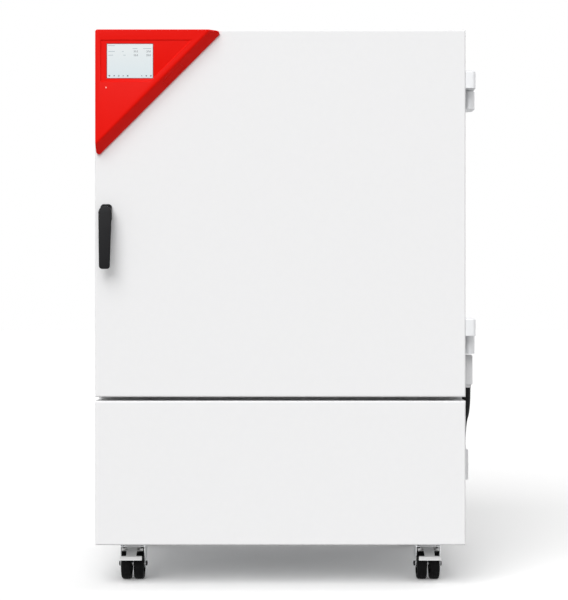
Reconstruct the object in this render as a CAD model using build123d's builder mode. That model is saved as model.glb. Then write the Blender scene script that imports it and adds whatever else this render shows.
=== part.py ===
"""Refrigerated incubator: an insulated cabinet on casters with a glass inner door.

Millimetres. X runs to the right, Y from the door's front to the rear, Z up from the floor.
Everything is drawn about the middle of the cabinet and the door's front face, and is moved to
the bottom centre of the whole object when it is written out.
"""

import os
from math import cos, radians, sin, sqrt

from build123d import *

# Cabinet
width = 925.0
depth = 800.0
ground_clearance = 107.0
lower_panel_height = 360.0
door_gap = 10.0
door_height = 916.0
door_thickness = 72.0
gasket_height = 8.0
sheet = 1.2
fold = 14.0
cap_height = 8.0
skin_edge_radius = 4.0
front_plate = 2.0

side = width / 2
panel_top = ground_clearance + lower_panel_height
door_bottom = panel_top + door_gap
top = door_bottom + door_height
body_front = door_thickness + gasket_height
inner_side = side - sheet
inner_rear = depth - sheet

# Chamber
side_insulation = 137.5
rear_insulation = 135.0
chamber_setback = 65.5
duct_depth = 30.0
liner_sheet = 1.2
mouth_depth = 24.0
plenum_depth = 76.0
glass_overlap_side = 25.0
glass_overlap_vertical = 22.5
mouth_gap_side = 15.0
mouth_gap_vertical = 8.0

chamber_width = width - 2 * side_insulation
chamber_height = door_height - 2 * chamber_setback
chamber_floor = door_bottom + chamber_setback
chamber_depth = depth - body_front - mouth_depth - plenum_depth - rear_insulation
glass_width = chamber_width + 2 * glass_overlap_side
glass_height = chamber_height + 2 * glass_overlap_vertical
chamber_top = chamber_floor + chamber_height
chamber_side = chamber_width / 2
chamber_middle = (chamber_floor + chamber_top) / 2
liner_side = chamber_side + duct_depth
mouth_side = glass_width / 2 + mouth_gap_side
mouth_floor = chamber_middle - glass_height / 2 - mouth_gap_vertical
mouth_top = chamber_middle + glass_height / 2 + mouth_gap_vertical
liner_front = body_front + mouth_depth
baffle_front = liner_front + liner_sheet + chamber_depth
liner_rear = baffle_front + plenum_depth
divider_sheet = 3.0
divider_top = panel_top - front_plate

# Running clearances between pieces
shaft_clearance = 0.05
seat_clearance = 0.3
flap_clearance = 0.4

# Outer door
skin = 1.5
door_lining = 2.0
door_field_margin = 66.0
door_field_height = 4.0
door_gasket_width = 18.0
door_gasket_inset = 42.5
door_gasket_foot = 7.0
hinge_offset = 15.0
hinge_depth = 60.0
hinge_lower_edges = [door_bottom + 106.0, top - 191.0]
hinge_leaf_height = 45.0
hinge_pin_radius = 5.0
hinge_pin_length = 38.0
door_leaf_reach = 26.5
body_leaf_reach = 30.0
body_leaf_length = 48.0
hinge_x = side + hinge_offset

# Glass inner door
glass_thickness = 5.0
glass_front = 94.0
glass_hinge_inset = 8.0
glass_pin_depth = 86.0
glass_pin_radius = 4.0
glass_knuckle_radius = 6.5
clamp_height = 36.0
clamp_length = 38.0
knob_radius = 14.0
knob_reach = 13.5
chamber_gasket_width = 14.0
glass_hinge_x = mouth_side - glass_hinge_inset

# Instrument panel on the door's top left corner
panel_leg = 315.0
panel_margin = 4.3
panel_depth = 32.0
panel_wall = 4.0
panel_rim = 5.0
bevel_width = 21.0
panel_corner_radius = 6.0
panel_edge_radius = 2.5
bevel_edge_radius = 8.0
dish_depth = 2.0
dish_left = 13.2
dish_drop = 25.7
dish_height = 104.0
dish_top_length = 227.0
dish_floor_length = 123.0
screen_width = 115.0
screen_height = 86.0
screen_left = 28.6
screen_drop = 35.2
screen_sink = 0.6
socket_cover_length = 62.0
socket_cover_width = 16.0
socket_cover_thickness = 2.5
socket_cover_along = 0.63
socket_cover_across = 0.4
socket_pin_radius = 0.5

# Door handle
handle_x = 28.5 - side
handle_top = (door_bottom + top) / 2 + 19.0
handle_length = 156.0
handle_width = 32.4
handle_foot_width = 26.8
handle_foot_radius = 8.0
handle_pivot_reach = 13.0
handle_pin_radius = 2.5
handle_cam_height = 11.0
handle_cam_radius = 3.0
handle_cam_reach = 3.0
plunger_radius = 4.0
plunger_gap = 0.4
plunger_stop = 6.0
handle_pivot_z = handle_top - handle_width / 2

# Shelves
shelf_sheet = 1.5
shelf_lip = 12.0
shelf_setback = 41.0
shelf_side_gap = 15.0
shelf_rear_gap = 14.0
shelf_levels = [chamber_floor + chamber_height * share for share in (1 / 3, 2 / 3)]
shelf_width = chamber_width - 2 * shelf_side_gap
shelf_length = chamber_depth - shelf_setback - shelf_rear_gap
rail_width = 27.0
rail_sheet = 2.0
shelf_slot_columns = 5
shelf_slot_rows = 10

# Air system
fan_height = chamber_top - 157.5
fan_radius = 75.0
fan_depth = 30.0
fan_shaft_radius = 4.0
fan_blades = 10

# Right side wall
side_item_depth = body_front + 20.0
conduit_radius = 12.0
cable_cover_floor = door_bottom + 26.0
cable_cover_height = 76.0
cable_cover_reach = 28.0
cable_cover_length = 34.0
switch_box_floor = ground_clearance + 144.0
switch_box_height = 79.0
switch_box_reach = 27.0
switch_box_length = 84.0
switch_box_middle = body_front + 125.0
rocker_height = 28.0
rocker_width = 20.0
rocker_tilt = 16.0
rocker_room = 3.0
rocker_pin_depth = 4.0
rocker_pin_radius = 1.5
inlet_size = (20.0, 28.0)
inlet_depth = 18.0

# Access port through the left side wall
port_radius = 25.0
port_wall = 2.0
port_flange = 9.0
port_depth = body_front + 320.0
plug_depth = 40.0

# Casters
caster_inset = 83.0
front_caster_depth = body_front + 85.0
rear_caster_depth = depth - caster_inset
caster_trail = 35.0
wheel_radius = 40.0
wheel_width = 24.5
wheel_pair_width = 56.8
fork_width = 64.0
fork_sheet = 2.5
axle_radius = 5.0
axle_length = 69.5
kingpin_radius = 6.0
plate_thickness = 4.0
race_radius = 22.0
race_height = 9.0
crown_thickness = 3.0
pedal_pivot_ahead = 51.0
pedal_pivot_height = 85.0
pedal_pin_radius = 3.0


def block(x, y, z, mode=Mode.ADD):
    """Add or cut the block that spans the given ranges of X, Y and Z."""
    with Locations(((x[0] + x[1]) / 2, (y[0] + y[1]) / 2, (z[0] + z[1]) / 2)):
        Box(x[1] - x[0], y[1] - y[0], z[1] - z[0], mode=mode)


def upright(y):
    """The sketch plane across the cabinet at depth y, with its local y axis up."""
    return Plane.XZ.offset(-y)


def sideways(x):
    """The sketch plane along the cabinet at x, with its local x axis to the rear."""
    return Plane.YZ.offset(x)


def level(z):
    """The horizontal sketch plane at height z."""
    return Plane.XY.offset(z)


def side_wall(hand):
    """One side wall, a sheet whose front and rear edges are folded inwards."""
    length = depth - body_front
    with BuildPart() as wall:
        with BuildSketch(level(ground_clearance)):
            with Locations((hand * (side - fold / 2), body_front + length / 2)):
                Rectangle(fold, length)
            with Locations((hand * (inner_side - fold / 2), body_front + length / 2)):
                Rectangle(fold, length - 2 * sheet, mode=Mode.SUBTRACT)
        extrude(amount=top - cap_height - ground_clearance)
    return wall


def port_hole(radius, x_from, x_to):
    """Cut the round passage of the access port between two places in X."""
    with BuildSketch(sideways(x_from)) as passage:
        with Locations((port_depth, chamber_middle)):
            Circle(radius)
    extrude(passage.sketch, amount=x_to - x_from, mode=Mode.SUBTRACT)


# Side walls, the left one with the access port's hole
side_panel_right = side_wall(1)
with BuildPart() as side_panel_left:
    add(side_wall(-1).part)
    port_hole(port_radius + port_wall + seat_clearance, -side - 1, -inner_side + 1)

# Top panel, a shallow pan over the body
with BuildPart() as top_panel:
    with BuildSketch(level(top - cap_height)):
        with Locations((0, (body_front + depth) / 2)):
            Rectangle(width, depth - body_front)
    extrude(amount=cap_height)
    chamfer(top_panel.faces().sort_by(Axis.Z)[-1].edges(), length=sheet)
    block((-inner_side, inner_side), (body_front + sheet, inner_rear),
          (top - cap_height, top - sheet), Mode.SUBTRACT)

# Rear panel with two columns of louvres
louvre_rows = 9
louvre_pitch = 24.0
louvre_size = (170.0, 8.0)
with BuildPart() as rear_panel:
    block((fold - side, side - fold), (inner_rear, depth), (ground_clearance, top - cap_height))
    with BuildSketch(upright(depth)) as louvres:
        with Locations((0, (ground_clearance + divider_top) / 2)):
            with GridLocations(width / 2, louvre_pitch, 2, louvre_rows):
                Rectangle(*louvre_size)
    extrude(louvres.sketch, amount=sheet * 2, both=True, mode=Mode.SUBTRACT)

# Base tray that carries the machine compartment and the casters
tray_floor = 3.0
tray_flange = 28.0
with BuildPart() as base_frame:
    block((-inner_side, inner_side), (body_front + front_plate, inner_rear),
          (ground_clearance, ground_clearance + tray_flange))
    block((-inner_side + tray_floor, inner_side - tray_floor),
          (body_front + front_plate + tray_floor, inner_rear - tray_floor),
          (ground_clearance + tray_floor, ground_clearance + tray_flange), Mode.SUBTRACT)

# Lower front panel, a deep pan with air slots in its underside
intake_slot = (110.0, 9.0)
with BuildPart() as lower_front_panel:
    with BuildSketch(upright(0)):
        with Locations((0, (ground_clearance + panel_top) / 2)):
            Rectangle(width, lower_panel_height)
    extrude(amount=-body_front)
    fillet(lower_front_panel.faces().sort_by(Axis.Y)[0].edges(), radius=skin_edge_radius)
    block((skin - side, side - skin), (skin, body_front), (ground_clearance + skin, panel_top - skin),
          Mode.SUBTRACT)
    with BuildSketch(level(ground_clearance)) as intake:
        with Locations((0, body_front / 2)):
            with GridLocations(intake_slot[0] * 1.3, intake_slot[1] * 2, 4, 2):
                Rectangle(*intake_slot)
    extrude(intake.sketch, amount=skin * 2, both=True, mode=Mode.SUBTRACT)

# Divider plate under the insulation, with the holes of the two rising refrigerant lines
line_radius = 5.0
line_places = [-150.0, 150.0]
plenum_middle = (baffle_front + liner_rear) / 2


def line_holes(z_from, z_to):
    """Cut the holes of the rising refrigerant lines between two heights."""
    with BuildSketch(level(z_from)) as holes:
        with Locations(*[(x, plenum_middle) for x in line_places]):
            Circle(line_radius + seat_clearance)
    extrude(holes.sketch, amount=z_to - z_from, mode=Mode.SUBTRACT)


with BuildPart() as divider_plate:
    block((-inner_side, inner_side), (body_front + front_plate, inner_rear),
          (divider_top - divider_sheet, divider_top))
    line_holes(divider_top - 2 * divider_sheet, divider_top + divider_sheet)

# Front frame round the chamber's mouth, a plate with a short tunnel behind it
tunnel_rear = liner_front + liner_sheet
with BuildPart() as front_frame:
    block((fold - side, side - fold), (body_front, body_front + front_plate),
          (divider_top - divider_sheet, top - cap_height))
    block((-mouth_side - front_plate, mouth_side + front_plate), (body_front, tunnel_rear),
          (mouth_floor - front_plate, mouth_top + front_plate))
    block((-mouth_side, mouth_side), (body_front - 1, tunnel_rear + 1), (mouth_floor, mouth_top),
          Mode.SUBTRACT)

# Chamber liner, a stainless box with a flange at its mouth
with BuildPart() as chamber_liner:
    block((-liner_side - liner_sheet, liner_side + liner_sheet),
          (tunnel_rear, liner_rear + liner_sheet),
          (chamber_floor - liner_sheet, chamber_top + liner_sheet))
    block((-liner_side, liner_side), (tunnel_rear, liner_rear), (chamber_floor, chamber_top),
          Mode.SUBTRACT)
    block((-mouth_side, mouth_side), (liner_front, tunnel_rear), (mouth_floor, mouth_top))
    block((-chamber_side, chamber_side), (liner_front - 1, tunnel_rear + 1),
          (chamber_floor, chamber_top), Mode.SUBTRACT)
    port_hole(port_radius + port_wall + seat_clearance, -liner_side - 2 * liner_sheet,
              -liner_side + liner_sheet)
    line_holes(chamber_floor - 2 * liner_sheet, chamber_floor + liner_sheet)

# Insulation between the liner and the outer sheets
with BuildPart() as insulation_jacket:
    block((-inner_side, inner_side), (body_front + front_plate, inner_rear),
          (divider_top, top - sheet))
    block((-mouth_side - front_plate, mouth_side + front_plate), (body_front, tunnel_rear),
          (mouth_floor - front_plate, mouth_top + front_plate), Mode.SUBTRACT)
    block((-liner_side - liner_sheet, liner_side + liner_sheet),
          (tunnel_rear - 1, liner_rear + liner_sheet),
          (chamber_floor - liner_sheet, chamber_top + liner_sheet), Mode.SUBTRACT)
    port_hole(port_radius + port_wall, -side, -liner_side)
    line_holes(divider_top - 1, chamber_floor)

# Air duct walls with rows of outlets and a rail under each shelf
outlet_size = (9.0, 60.0)
outlet_rows = 5
outlet_columns = 4
with BuildPart() as air_ducts:
    for hand in (-1, 1):
        wall_x = sorted((hand * chamber_side, hand * (chamber_side + liner_sheet)))
        block(wall_x, (tunnel_rear, baffle_front), (chamber_floor, chamber_top))
        for shelf_z in shelf_levels:
            rail_x = sorted((hand * chamber_side, hand * (chamber_side - rail_width)))
            rail_top = shelf_z - seat_clearance
            block(rail_x, (tunnel_rear + fold, baffle_front), (rail_top - rail_sheet, rail_top))
    with BuildSketch(sideways(0)) as outlets:
        with Locations(((tunnel_rear + baffle_front) / 2, chamber_middle)):
            with GridLocations(chamber_depth / outlet_columns, chamber_height / (outlet_rows + 0.5),
                               outlet_columns, outlet_rows):
                Rectangle(*outlet_size)
    extrude(outlets.sketch, amount=liner_side, both=True, mode=Mode.SUBTRACT)
    port_hole(port_radius + port_wall + seat_clearance, -liner_side, -chamber_side + liner_sheet)

# Rear air panel with the fan's inlet as a ring of radial slots
inlet_slots = 12
inlet_slot_size = (38.0, 9.0)
return_slot_size = (90.0, 10.0)
with BuildPart() as rear_air_panel:
    block((-chamber_side, chamber_side), (baffle_front, baffle_front + liner_sheet),
          (chamber_floor, chamber_top))
    with BuildSketch(upright(baffle_front)) as air_slots:
        with Locations((0, fan_height)):
            with PolarLocations(fan_radius * 0.55, inlet_slots):
                Rectangle(*inlet_slot_size)
        with Locations((0, chamber_floor + return_slot_size[0])):
            with GridLocations(return_slot_size[0] * 1.4, return_slot_size[1] * 2.5, 4, 3):
                Rectangle(*return_slot_size)
    extrude(air_slots.sketch, amount=liner_sheet * 2, both=True, mode=Mode.SUBTRACT)

# Chamber fan, a radial wheel on the shaft of its motor
fan_front = baffle_front + liner_sheet + 4.0
wheel_plate = 2.0
blade_size = (40.0, 2.0)
motor_gap = 6.0
motor_front = fan_front + fan_depth + motor_gap
with BuildPart() as fan_wheel:
    with BuildSketch(upright(fan_front + fan_depth)) as back_plate:
        with Locations((0, fan_height)):
            Circle(fan_radius)
    extrude(back_plate.sketch, amount=wheel_plate)
    with BuildSketch(upright(fan_front + fan_depth)) as wheel_core:
        with Locations((0, fan_height)):
            Circle(fan_radius * 0.2)
    extrude(wheel_core.sketch, amount=fan_depth)
    with BuildSketch(upright(fan_front + fan_depth)) as blades:
        with Locations((0, fan_height)):
            with PolarLocations(fan_radius * 0.7, fan_blades):
                Rectangle(*blade_size, rotation=25)
    extrude(blades.sketch, amount=fan_depth)
    with BuildSketch(upright(fan_front + fan_depth + 1)) as shaft_bore:
        with Locations((0, fan_height)):
            Circle(fan_shaft_radius + shaft_clearance)
    extrude(shaft_bore.sketch, amount=fan_depth + 2, mode=Mode.SUBTRACT)

motor_radius = 32.0
with BuildPart() as fan_motor:
    with BuildSketch(upright(liner_rear)) as can:
        with Locations((0, fan_height)):
            Circle(motor_radius)
    extrude(can.sketch, amount=liner_rear - motor_front)
    with BuildSketch(upright(liner_rear)) as foot:
        with Locations((0, fan_height)):
            Rectangle(motor_radius * 3, motor_radius)
    extrude(foot.sketch, amount=wheel_plate)
    with BuildSketch(upright(motor_front)) as shaft:
        with Locations((0, fan_height)):
            Circle(fan_shaft_radius)
    extrude(shaft.sketch, amount=fan_depth + motor_gap)


def finned_coil(x, y, z, fins, fin_sheet):
    """A heat exchanger: a core block with upright fins across it."""
    core = (y[1] - y[0]) * 0.3
    middle = (y[0] + y[1]) / 2
    with BuildPart() as coil:
        block(x, (middle - core, middle + core), (z[0] + core, z[1] - core))
        with BuildSketch(sideways(0)) as fin:
            with Locations((middle, (z[0] + z[1]) / 2)):
                Rectangle(y[1] - y[0], z[1] - z[0])
        pitch = (x[1] - x[0] - fin_sheet) / (fins - 1)
        for count in range(fins):
            with Locations((x[0] + count * pitch, 0, 0)):
                add(extrude(fin.sketch, amount=fin_sheet, mode=Mode.PRIVATE))
    return coil


# Evaporator low in the plenum, and a straight rod heater above it on two brackets
evaporator_half = chamber_side - 115.0
evaporator_floor = chamber_floor + 45.0
evaporator_height = 150.0
evaporator_thickness = 46.0
evaporator = finned_coil((-evaporator_half, evaporator_half),
                         (liner_rear - evaporator_thickness, liner_rear),
                         (evaporator_floor, evaporator_floor + evaporator_height), 14, 2.0)

heater_height = evaporator_floor + evaporator_height + 60.0
heater_radius = 5.0
heater_half = chamber_side - 125.0
bracket_size = 14.0
with BuildPart() as air_heater:
    with BuildSketch(sideways(-heater_half)) as rods:
        with Locations((plenum_middle, heater_height)):
            with GridLocations(1, 30.0, 1, 2):
                Circle(heater_radius)
    extrude(rods.sketch, amount=2 * heater_half)
    for end in (-heater_half, heater_half - bracket_size):
        block((end, end + bracket_size), (plenum_middle - bracket_size / 2, liner_rear),
              (heater_height - 24.0, heater_height + 24.0))

# Gasket that the glass door closes against
chamber_gasket_half = (glass_width / 2 - 4.0, glass_height / 2 - 4.0)
with BuildPart() as chamber_gasket:
    with BuildSketch(upright(liner_front)):
        with Locations((0, chamber_middle)):
            RectangleRounded(2 * chamber_gasket_half[0], 2 * chamber_gasket_half[1], 12.0)
            Rectangle(2 * (chamber_gasket_half[0] - chamber_gasket_width),
                      2 * (chamber_gasket_half[1] - chamber_gasket_width), mode=Mode.SUBTRACT)
    extrude(amount=liner_front - glass_front - glass_thickness - seat_clearance)

# Machine compartment
compartment_floor = ground_clearance + tray_floor
compressor_x = line_places[1]
compressor_radius = 82.0
compressor_height = lower_panel_height - 170.0
compressor_foot = 12.0
with BuildPart() as compressor:
    with BuildSketch(Plane.XZ.offset(-plenum_middle)) as dome:
        with BuildLine():
            shell_top = compartment_floor + compressor_height
            shell_floor = compartment_floor + compressor_foot
            waist = (compressor_x + compressor_radius, shell_floor + 30.0)
            shoulder = (compressor_x + compressor_radius, shell_top - 55.0)
            crown_edge = (compressor_x + line_radius * 2, shell_top)
            Polyline((compressor_x, shell_top), (compressor_x, shell_floor),
                     (compressor_x + compressor_radius * 0.7, shell_floor), waist, shoulder)
            TangentArc(shoulder, crown_edge, tangent=(0, 1))
            Line(crown_edge, (compressor_x, shell_top))
        make_face()
    revolve(axis=Axis((compressor_x, plenum_middle, 0), (0, 0, 1)))
    with BuildSketch(level(shell_floor)) as mounting:
        with Locations((compressor_x, plenum_middle)):
            RectangleRounded(compressor_radius * 2.1, compressor_radius * 1.7, 14.0)
    extrude(mounting.sketch, amount=3.0)
    with BuildSketch(level(compartment_floor)) as rubber_feet:
        with Locations((compressor_x, plenum_middle)):
            with GridLocations(compressor_radius * 1.75, compressor_radius * 1.35, 2, 2):
                Circle(9.0)
    extrude(rubber_feet.sketch, amount=compressor_foot)

condenser_x = -150.0
condenser_half = 170.0
condenser_front = body_front + 70.0
condenser_thickness = 60.0
condenser_height = lower_panel_height - 90.0
condenser_fan_radius = 110.0
shroud_length = 60.0
shroud_wall = 2.0
shroud_front = condenser_front + condenser_thickness
condenser_middle = compartment_floor + condenser_height / 2
condenser_core = finned_coil((condenser_x - condenser_half, condenser_x + condenser_half),
                             (condenser_front, condenser_front + condenser_thickness),
                             (compartment_floor, compartment_floor + condenser_height), 16, 2.0)
strut_depth = shroud_front + shroud_length - 6.0
with BuildPart() as condenser:
    add(condenser_core.part)
    block((condenser_x - condenser_half, condenser_x + condenser_half),
          (shroud_front, shroud_front + shroud_length),
          (compartment_floor, compartment_floor + condenser_height))
    block((condenser_x - condenser_half + shroud_wall, condenser_x + condenser_half - shroud_wall),
          (shroud_front, shroud_front + shroud_length - shroud_wall),
          (compartment_floor + shroud_wall, compartment_floor + condenser_height - shroud_wall),
          Mode.SUBTRACT)
    with BuildSketch(upright(shroud_front + shroud_length + 1)) as outlet:
        with Locations((condenser_x, condenser_middle)):
            Circle(condenser_fan_radius + 8.0)
    extrude(outlet.sketch, amount=shroud_wall + 2, mode=Mode.SUBTRACT)
    block((condenser_x - condenser_half, condenser_x + condenser_half),
          (strut_depth + 4.0, strut_depth + 6.0), (condenser_middle - 12.0, condenser_middle + 12.0))
    with BuildSketch(upright(strut_depth + 4.0)) as motor_can:
        with Locations((condenser_x, condenser_middle)):
            Circle(24.0)
    extrude(motor_can.sketch, amount=14.0)
    with BuildSketch(upright(strut_depth + 4.0)) as motor_shaft:
        with Locations((condenser_x, condenser_middle)):
            Circle(fan_shaft_radius)
    extrude(motor_shaft.sketch, amount=40.0)

axial_blades = 5
axial_hub_radius = 26.0
axial_hub_rear = strut_depth - 14.0
axial_hub_length = 22.0
with BuildPart() as condenser_fan:
    with BuildSketch(upright(axial_hub_rear)) as hub:
        with Locations((condenser_x, condenser_middle)):
            Circle(axial_hub_radius)
    extrude(hub.sketch, amount=axial_hub_length)
    for turn in range(axial_blades):
        hub_middle = (condenser_x, axial_hub_rear - axial_hub_length / 2, condenser_middle)
        spoke = Plane(origin=hub_middle, x_dir=(0, 1, 0), z_dir=(sin(radians(360 / axial_blades * turn)), 0,
                                                                 cos(radians(360 / axial_blades * turn))))
        with BuildSketch(spoke.offset(axial_hub_radius * 0.8)) as blade_root:
            Rectangle(2.0, 30.0, rotation=50)
        with BuildSketch(spoke.offset(condenser_fan_radius)) as blade_tip:
            Rectangle(2.0, 70.0, rotation=24)
        loft([blade_root.sketch.face(), blade_tip.sketch.face()])
    with BuildSketch(upright(axial_hub_rear + 1)) as hub_bore:
        with Locations((condenser_x, condenser_middle)):
            Circle(fan_shaft_radius + shaft_clearance)
    extrude(hub_bore.sketch, amount=axial_hub_length + 2, mode=Mode.SUBTRACT)

# Refrigerant lines: one straight up from the compressor, one from the condenser, one between them
line_bend = 34.0
line_level = compartment_floor + condenser_height + 40.0
condenser_middle_depth = condenser_front + condenser_thickness / 2
compressor_top = compartment_floor + compressor_height
line_routes = [
    [(line_places[1], plenum_middle, compressor_top), (line_places[1], plenum_middle, evaporator_floor)],
    [(line_places[0], condenser_middle_depth, compartment_floor + condenser_height),
     (line_places[0], condenser_middle_depth, line_level),
     (line_places[0], plenum_middle, line_level),
     (line_places[0], plenum_middle, evaporator_floor)],
]
with BuildPart() as refrigerant_lines:
    for route in line_routes:
        with BuildLine() as run:
            if len(route) > 2:
                FilletPolyline(*route, radius=line_bend)
            else:
                Line(*route)
        with BuildSketch(Plane(origin=run.line @ 0, z_dir=run.line % 0)) as bore:
            Circle(line_radius)
        sweep(bore.sketch, path=run.line)

# Control box, a folded case with a lid, open towards the tray
control_box_x = (side - 272.5, side - 42.5)
control_box_y = (body_front + 50.0, body_front + 250.0)
control_box_height = lower_panel_height - 110.0
control_box_wall = 2.0
lid_overlap = 4.0
with BuildPart() as control_box:
    block(control_box_x, control_box_y, (compartment_floor, compartment_floor + control_box_height))
    fillet(control_box.edges().filter_by(Axis.Z), radius=skin_edge_radius)
    block((control_box_x[0] - lid_overlap, control_box_x[1] + lid_overlap),
          (control_box_y[0] - lid_overlap, control_box_y[1] + lid_overlap),
          (compartment_floor + control_box_height, compartment_floor + control_box_height + 14.0))
    with BuildSketch(sideways(control_box_x[0])) as glands:
        with Locations((sum(control_box_y) / 2, compartment_floor + control_box_height * 0.6)):
            with GridLocations(45.0, 1, 3, 1):
                RegularPolygon(12.0, 6)
    extrude(glands.sketch, amount=-16.0)
    block((control_box_x[0] + control_box_wall, control_box_x[1] - control_box_wall),
          (control_box_y[0] + control_box_wall, control_box_y[1] - control_box_wall),
          (compartment_floor - 1, compartment_floor + control_box_height), Mode.SUBTRACT)

# Outer door hinges: body leaves with their pins, and the door leaves that turn on them
leaf_gap = 1.0
body_leaf_front_radius = (body_leaf_reach - skin) / 2
pin_head_gap = 2.0
with BuildPart() as hinge_body_leaves:
    for leaf_z in hinge_lower_edges:
        with BuildSketch(level(leaf_z)) as leaf_outline:
            with Locations((side + skin + body_leaf_front_radius, hinge_depth)):
                Circle(body_leaf_front_radius)
            with BuildLine():
                Polyline((side + skin, hinge_depth), (side + skin, body_front + 1.0),
                         (side, body_front + 1.0), (side, body_front + body_leaf_length),
                         (side + 9.0, body_front + body_leaf_length),
                         (side + body_leaf_reach, body_front + body_leaf_length / 2),
                         (side + body_leaf_reach, hinge_depth), close=True)
            make_face()
        extrude(leaf_outline.sketch, amount=hinge_leaf_height)
        with BuildSketch(level(leaf_z + hinge_leaf_height)) as pin_outline:
            with Locations((hinge_x, hinge_depth)):
                Circle(hinge_pin_radius)
        extrude(pin_outline.sketch, amount=hinge_pin_length)

door_leaf_rear = hinge_depth + 12.0
with BuildPart() as hinge_door_leaves:
    for leaf_z in hinge_lower_edges:
        leaf_floor = leaf_z + hinge_leaf_height + leaf_gap
        with BuildSketch(level(leaf_floor)) as door_leaf:
            with Locations((side + door_leaf_reach / 2, (skin_edge_radius + door_leaf_rear) / 2)):
                Rectangle(door_leaf_reach, door_leaf_rear - skin_edge_radius)
            outer_corners = door_leaf.vertices().group_by(Axis.X)[-1]
            fillet(outer_corners, radius=9.0)
        extrude(door_leaf.sketch, amount=hinge_leaf_height)
        with BuildSketch(level(leaf_floor)) as pin_bore:
            with Locations((hinge_x, hinge_depth)):
                Circle(hinge_pin_radius + shaft_clearance)
        extrude(pin_bore.sketch, amount=hinge_pin_length - leaf_gap + pin_head_gap, mode=Mode.SUBTRACT)
    upper_faces = [face for face in hinge_door_leaves.faces().filter_by(Axis.Z) if face.normal_at().Z > 0]
    outer_faces = [face for face in upper_faces
                   if any(abs(face.center().Z - leaf_z - 2 * hinge_leaf_height - leaf_gap) < 0.01
                          for leaf_z in hinge_lower_edges)]
    chamfer([edge for face in outer_faces for edge in face.outer_wire().edges()
             if edge.center().X > side + 1.0], length=4.0)

# Brackets with the pins that the glass door turns on
bracket_reach = 17.0
bracket_top = chamber_middle - glass_height / 2 - seat_clearance
bracket_rise = bracket_top - mouth_floor
pin_engagement = 20.0
with BuildPart() as glass_hinge_brackets:
    for end in (-1, 1):
        wall_z = chamber_middle + end * (chamber_middle - mouth_floor)
        seat_z = wall_z - end * bracket_rise
        block((mouth_side - bracket_reach, mouth_side), (body_front + 1.0, glass_front - 1.0),
              sorted((wall_z, seat_z)))
        with BuildSketch(level(seat_z)) as bracket_pin:
            with Locations((glass_hinge_x, glass_pin_depth)):
                Circle(glass_pin_radius)
        extrude(bracket_pin.sketch, amount=-end * pin_engagement)

# Glass door with its two clamps and its knob
with BuildPart() as glass_pane:
    with BuildSketch(upright(glass_front)):
        with Locations((0, chamber_middle)):
            RectangleRounded(glass_width, glass_height, 6.0)
    extrude(amount=-glass_thickness)

with BuildPart() as glass_door_fittings:
    for end in (-1, 1):
        edge_z = chamber_middle + end * glass_height / 2
        with BuildSketch(level(edge_z)) as clamp:
            with Locations((glass_hinge_x, glass_pin_depth)):
                Circle(glass_knuckle_radius)
            with Locations((glass_hinge_x - clamp_length / 2 - glass_pin_radius,
                            (glass_front + glass_pin_depth) / 2)):
                Rectangle(clamp_length, glass_front - glass_pin_depth)
            make_hull()
        extrude(clamp.sketch, amount=-end * clamp_height)
        with BuildSketch(level(edge_z)) as clamp_bore:
            with Locations((glass_hinge_x, glass_pin_depth)):
                Circle(glass_pin_radius + shaft_clearance)
        extrude(clamp_bore.sketch, amount=-end * (pin_engagement + 1.0), mode=Mode.SUBTRACT)
    knob_x = 30.0 - glass_width / 2
    with BuildSketch(upright(glass_front)) as knob_stem:
        with Locations((knob_x, chamber_middle)):
            Circle(knob_radius * 0.5)
    extrude(knob_stem.sketch, amount=knob_reach)
    with BuildSketch(upright(glass_front - knob_reach * 0.5)) as knob_head:
        with Locations((knob_x, chamber_middle)):
            Circle(knob_radius)
    extrude(knob_head.sketch, amount=knob_reach * 0.5)


def shelf(shelf_z):
    """A perforated shelf, folded down at the front and up at the rear."""
    front = tunnel_rear + shelf_setback
    lip_half = chamber_side - rail_width - 3.0
    with BuildPart() as tray:
        block((-shelf_width / 2, shelf_width / 2), (front, front + shelf_length),
              (shelf_z, shelf_z + shelf_sheet))
        block((-lip_half, lip_half), (front, front + shelf_sheet), (shelf_z - shelf_lip, shelf_z))
        block((-lip_half, lip_half), (front + shelf_length - shelf_sheet, front + shelf_length),
              (shelf_z + shelf_sheet, shelf_z + shelf_lip))
        with BuildSketch(level(shelf_z)) as slots:
            with Locations((0, front + shelf_length / 2)):
                column_pitch = 2 * lip_half / shelf_slot_columns
                row_pitch = (shelf_length - 2 * fold) / shelf_slot_rows
                with GridLocations(column_pitch, row_pitch, shelf_slot_columns, shelf_slot_rows):
                    Rectangle(column_pitch * 0.82, row_pitch * 0.4)
        extrude(slots.sketch, amount=shelf_sheet * 2, both=True, mode=Mode.SUBTRACT)
    return tray


shelf_lower = shelf(shelf_levels[0])
shelf_upper = shelf(shelf_levels[1])

# Right side wall: cable cover, conduit and switch box
conduit_x = side + conduit_radius + 1.0
with BuildPart() as cable_cover:
    cover_y = (side_item_depth - cable_cover_length / 2, side_item_depth + cable_cover_length / 2)
    cover_z = (cable_cover_floor, cable_cover_floor + cable_cover_height)
    block((side, side + cable_cover_reach), cover_y, cover_z)
    fillet(cable_cover.faces().sort_by(Axis.X)[-1].edges(), radius=skin_edge_radius)
    block((side, side + cable_cover_reach - front_plate),
          (cover_y[0] + front_plate, cover_y[1] - front_plate),
          (cover_z[0] + front_plate, cover_z[1] - front_plate), Mode.SUBTRACT)

switch_box_top = switch_box_floor + switch_box_height
conduit_drop = 62.0
conduit_route = [
    (conduit_x, side_item_depth, cable_cover_floor),
    (conduit_x, side_item_depth, cable_cover_floor - conduit_drop),
    (conduit_x, switch_box_middle, switch_box_top + conduit_drop),
    (conduit_x, switch_box_middle, switch_box_top),
]


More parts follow.
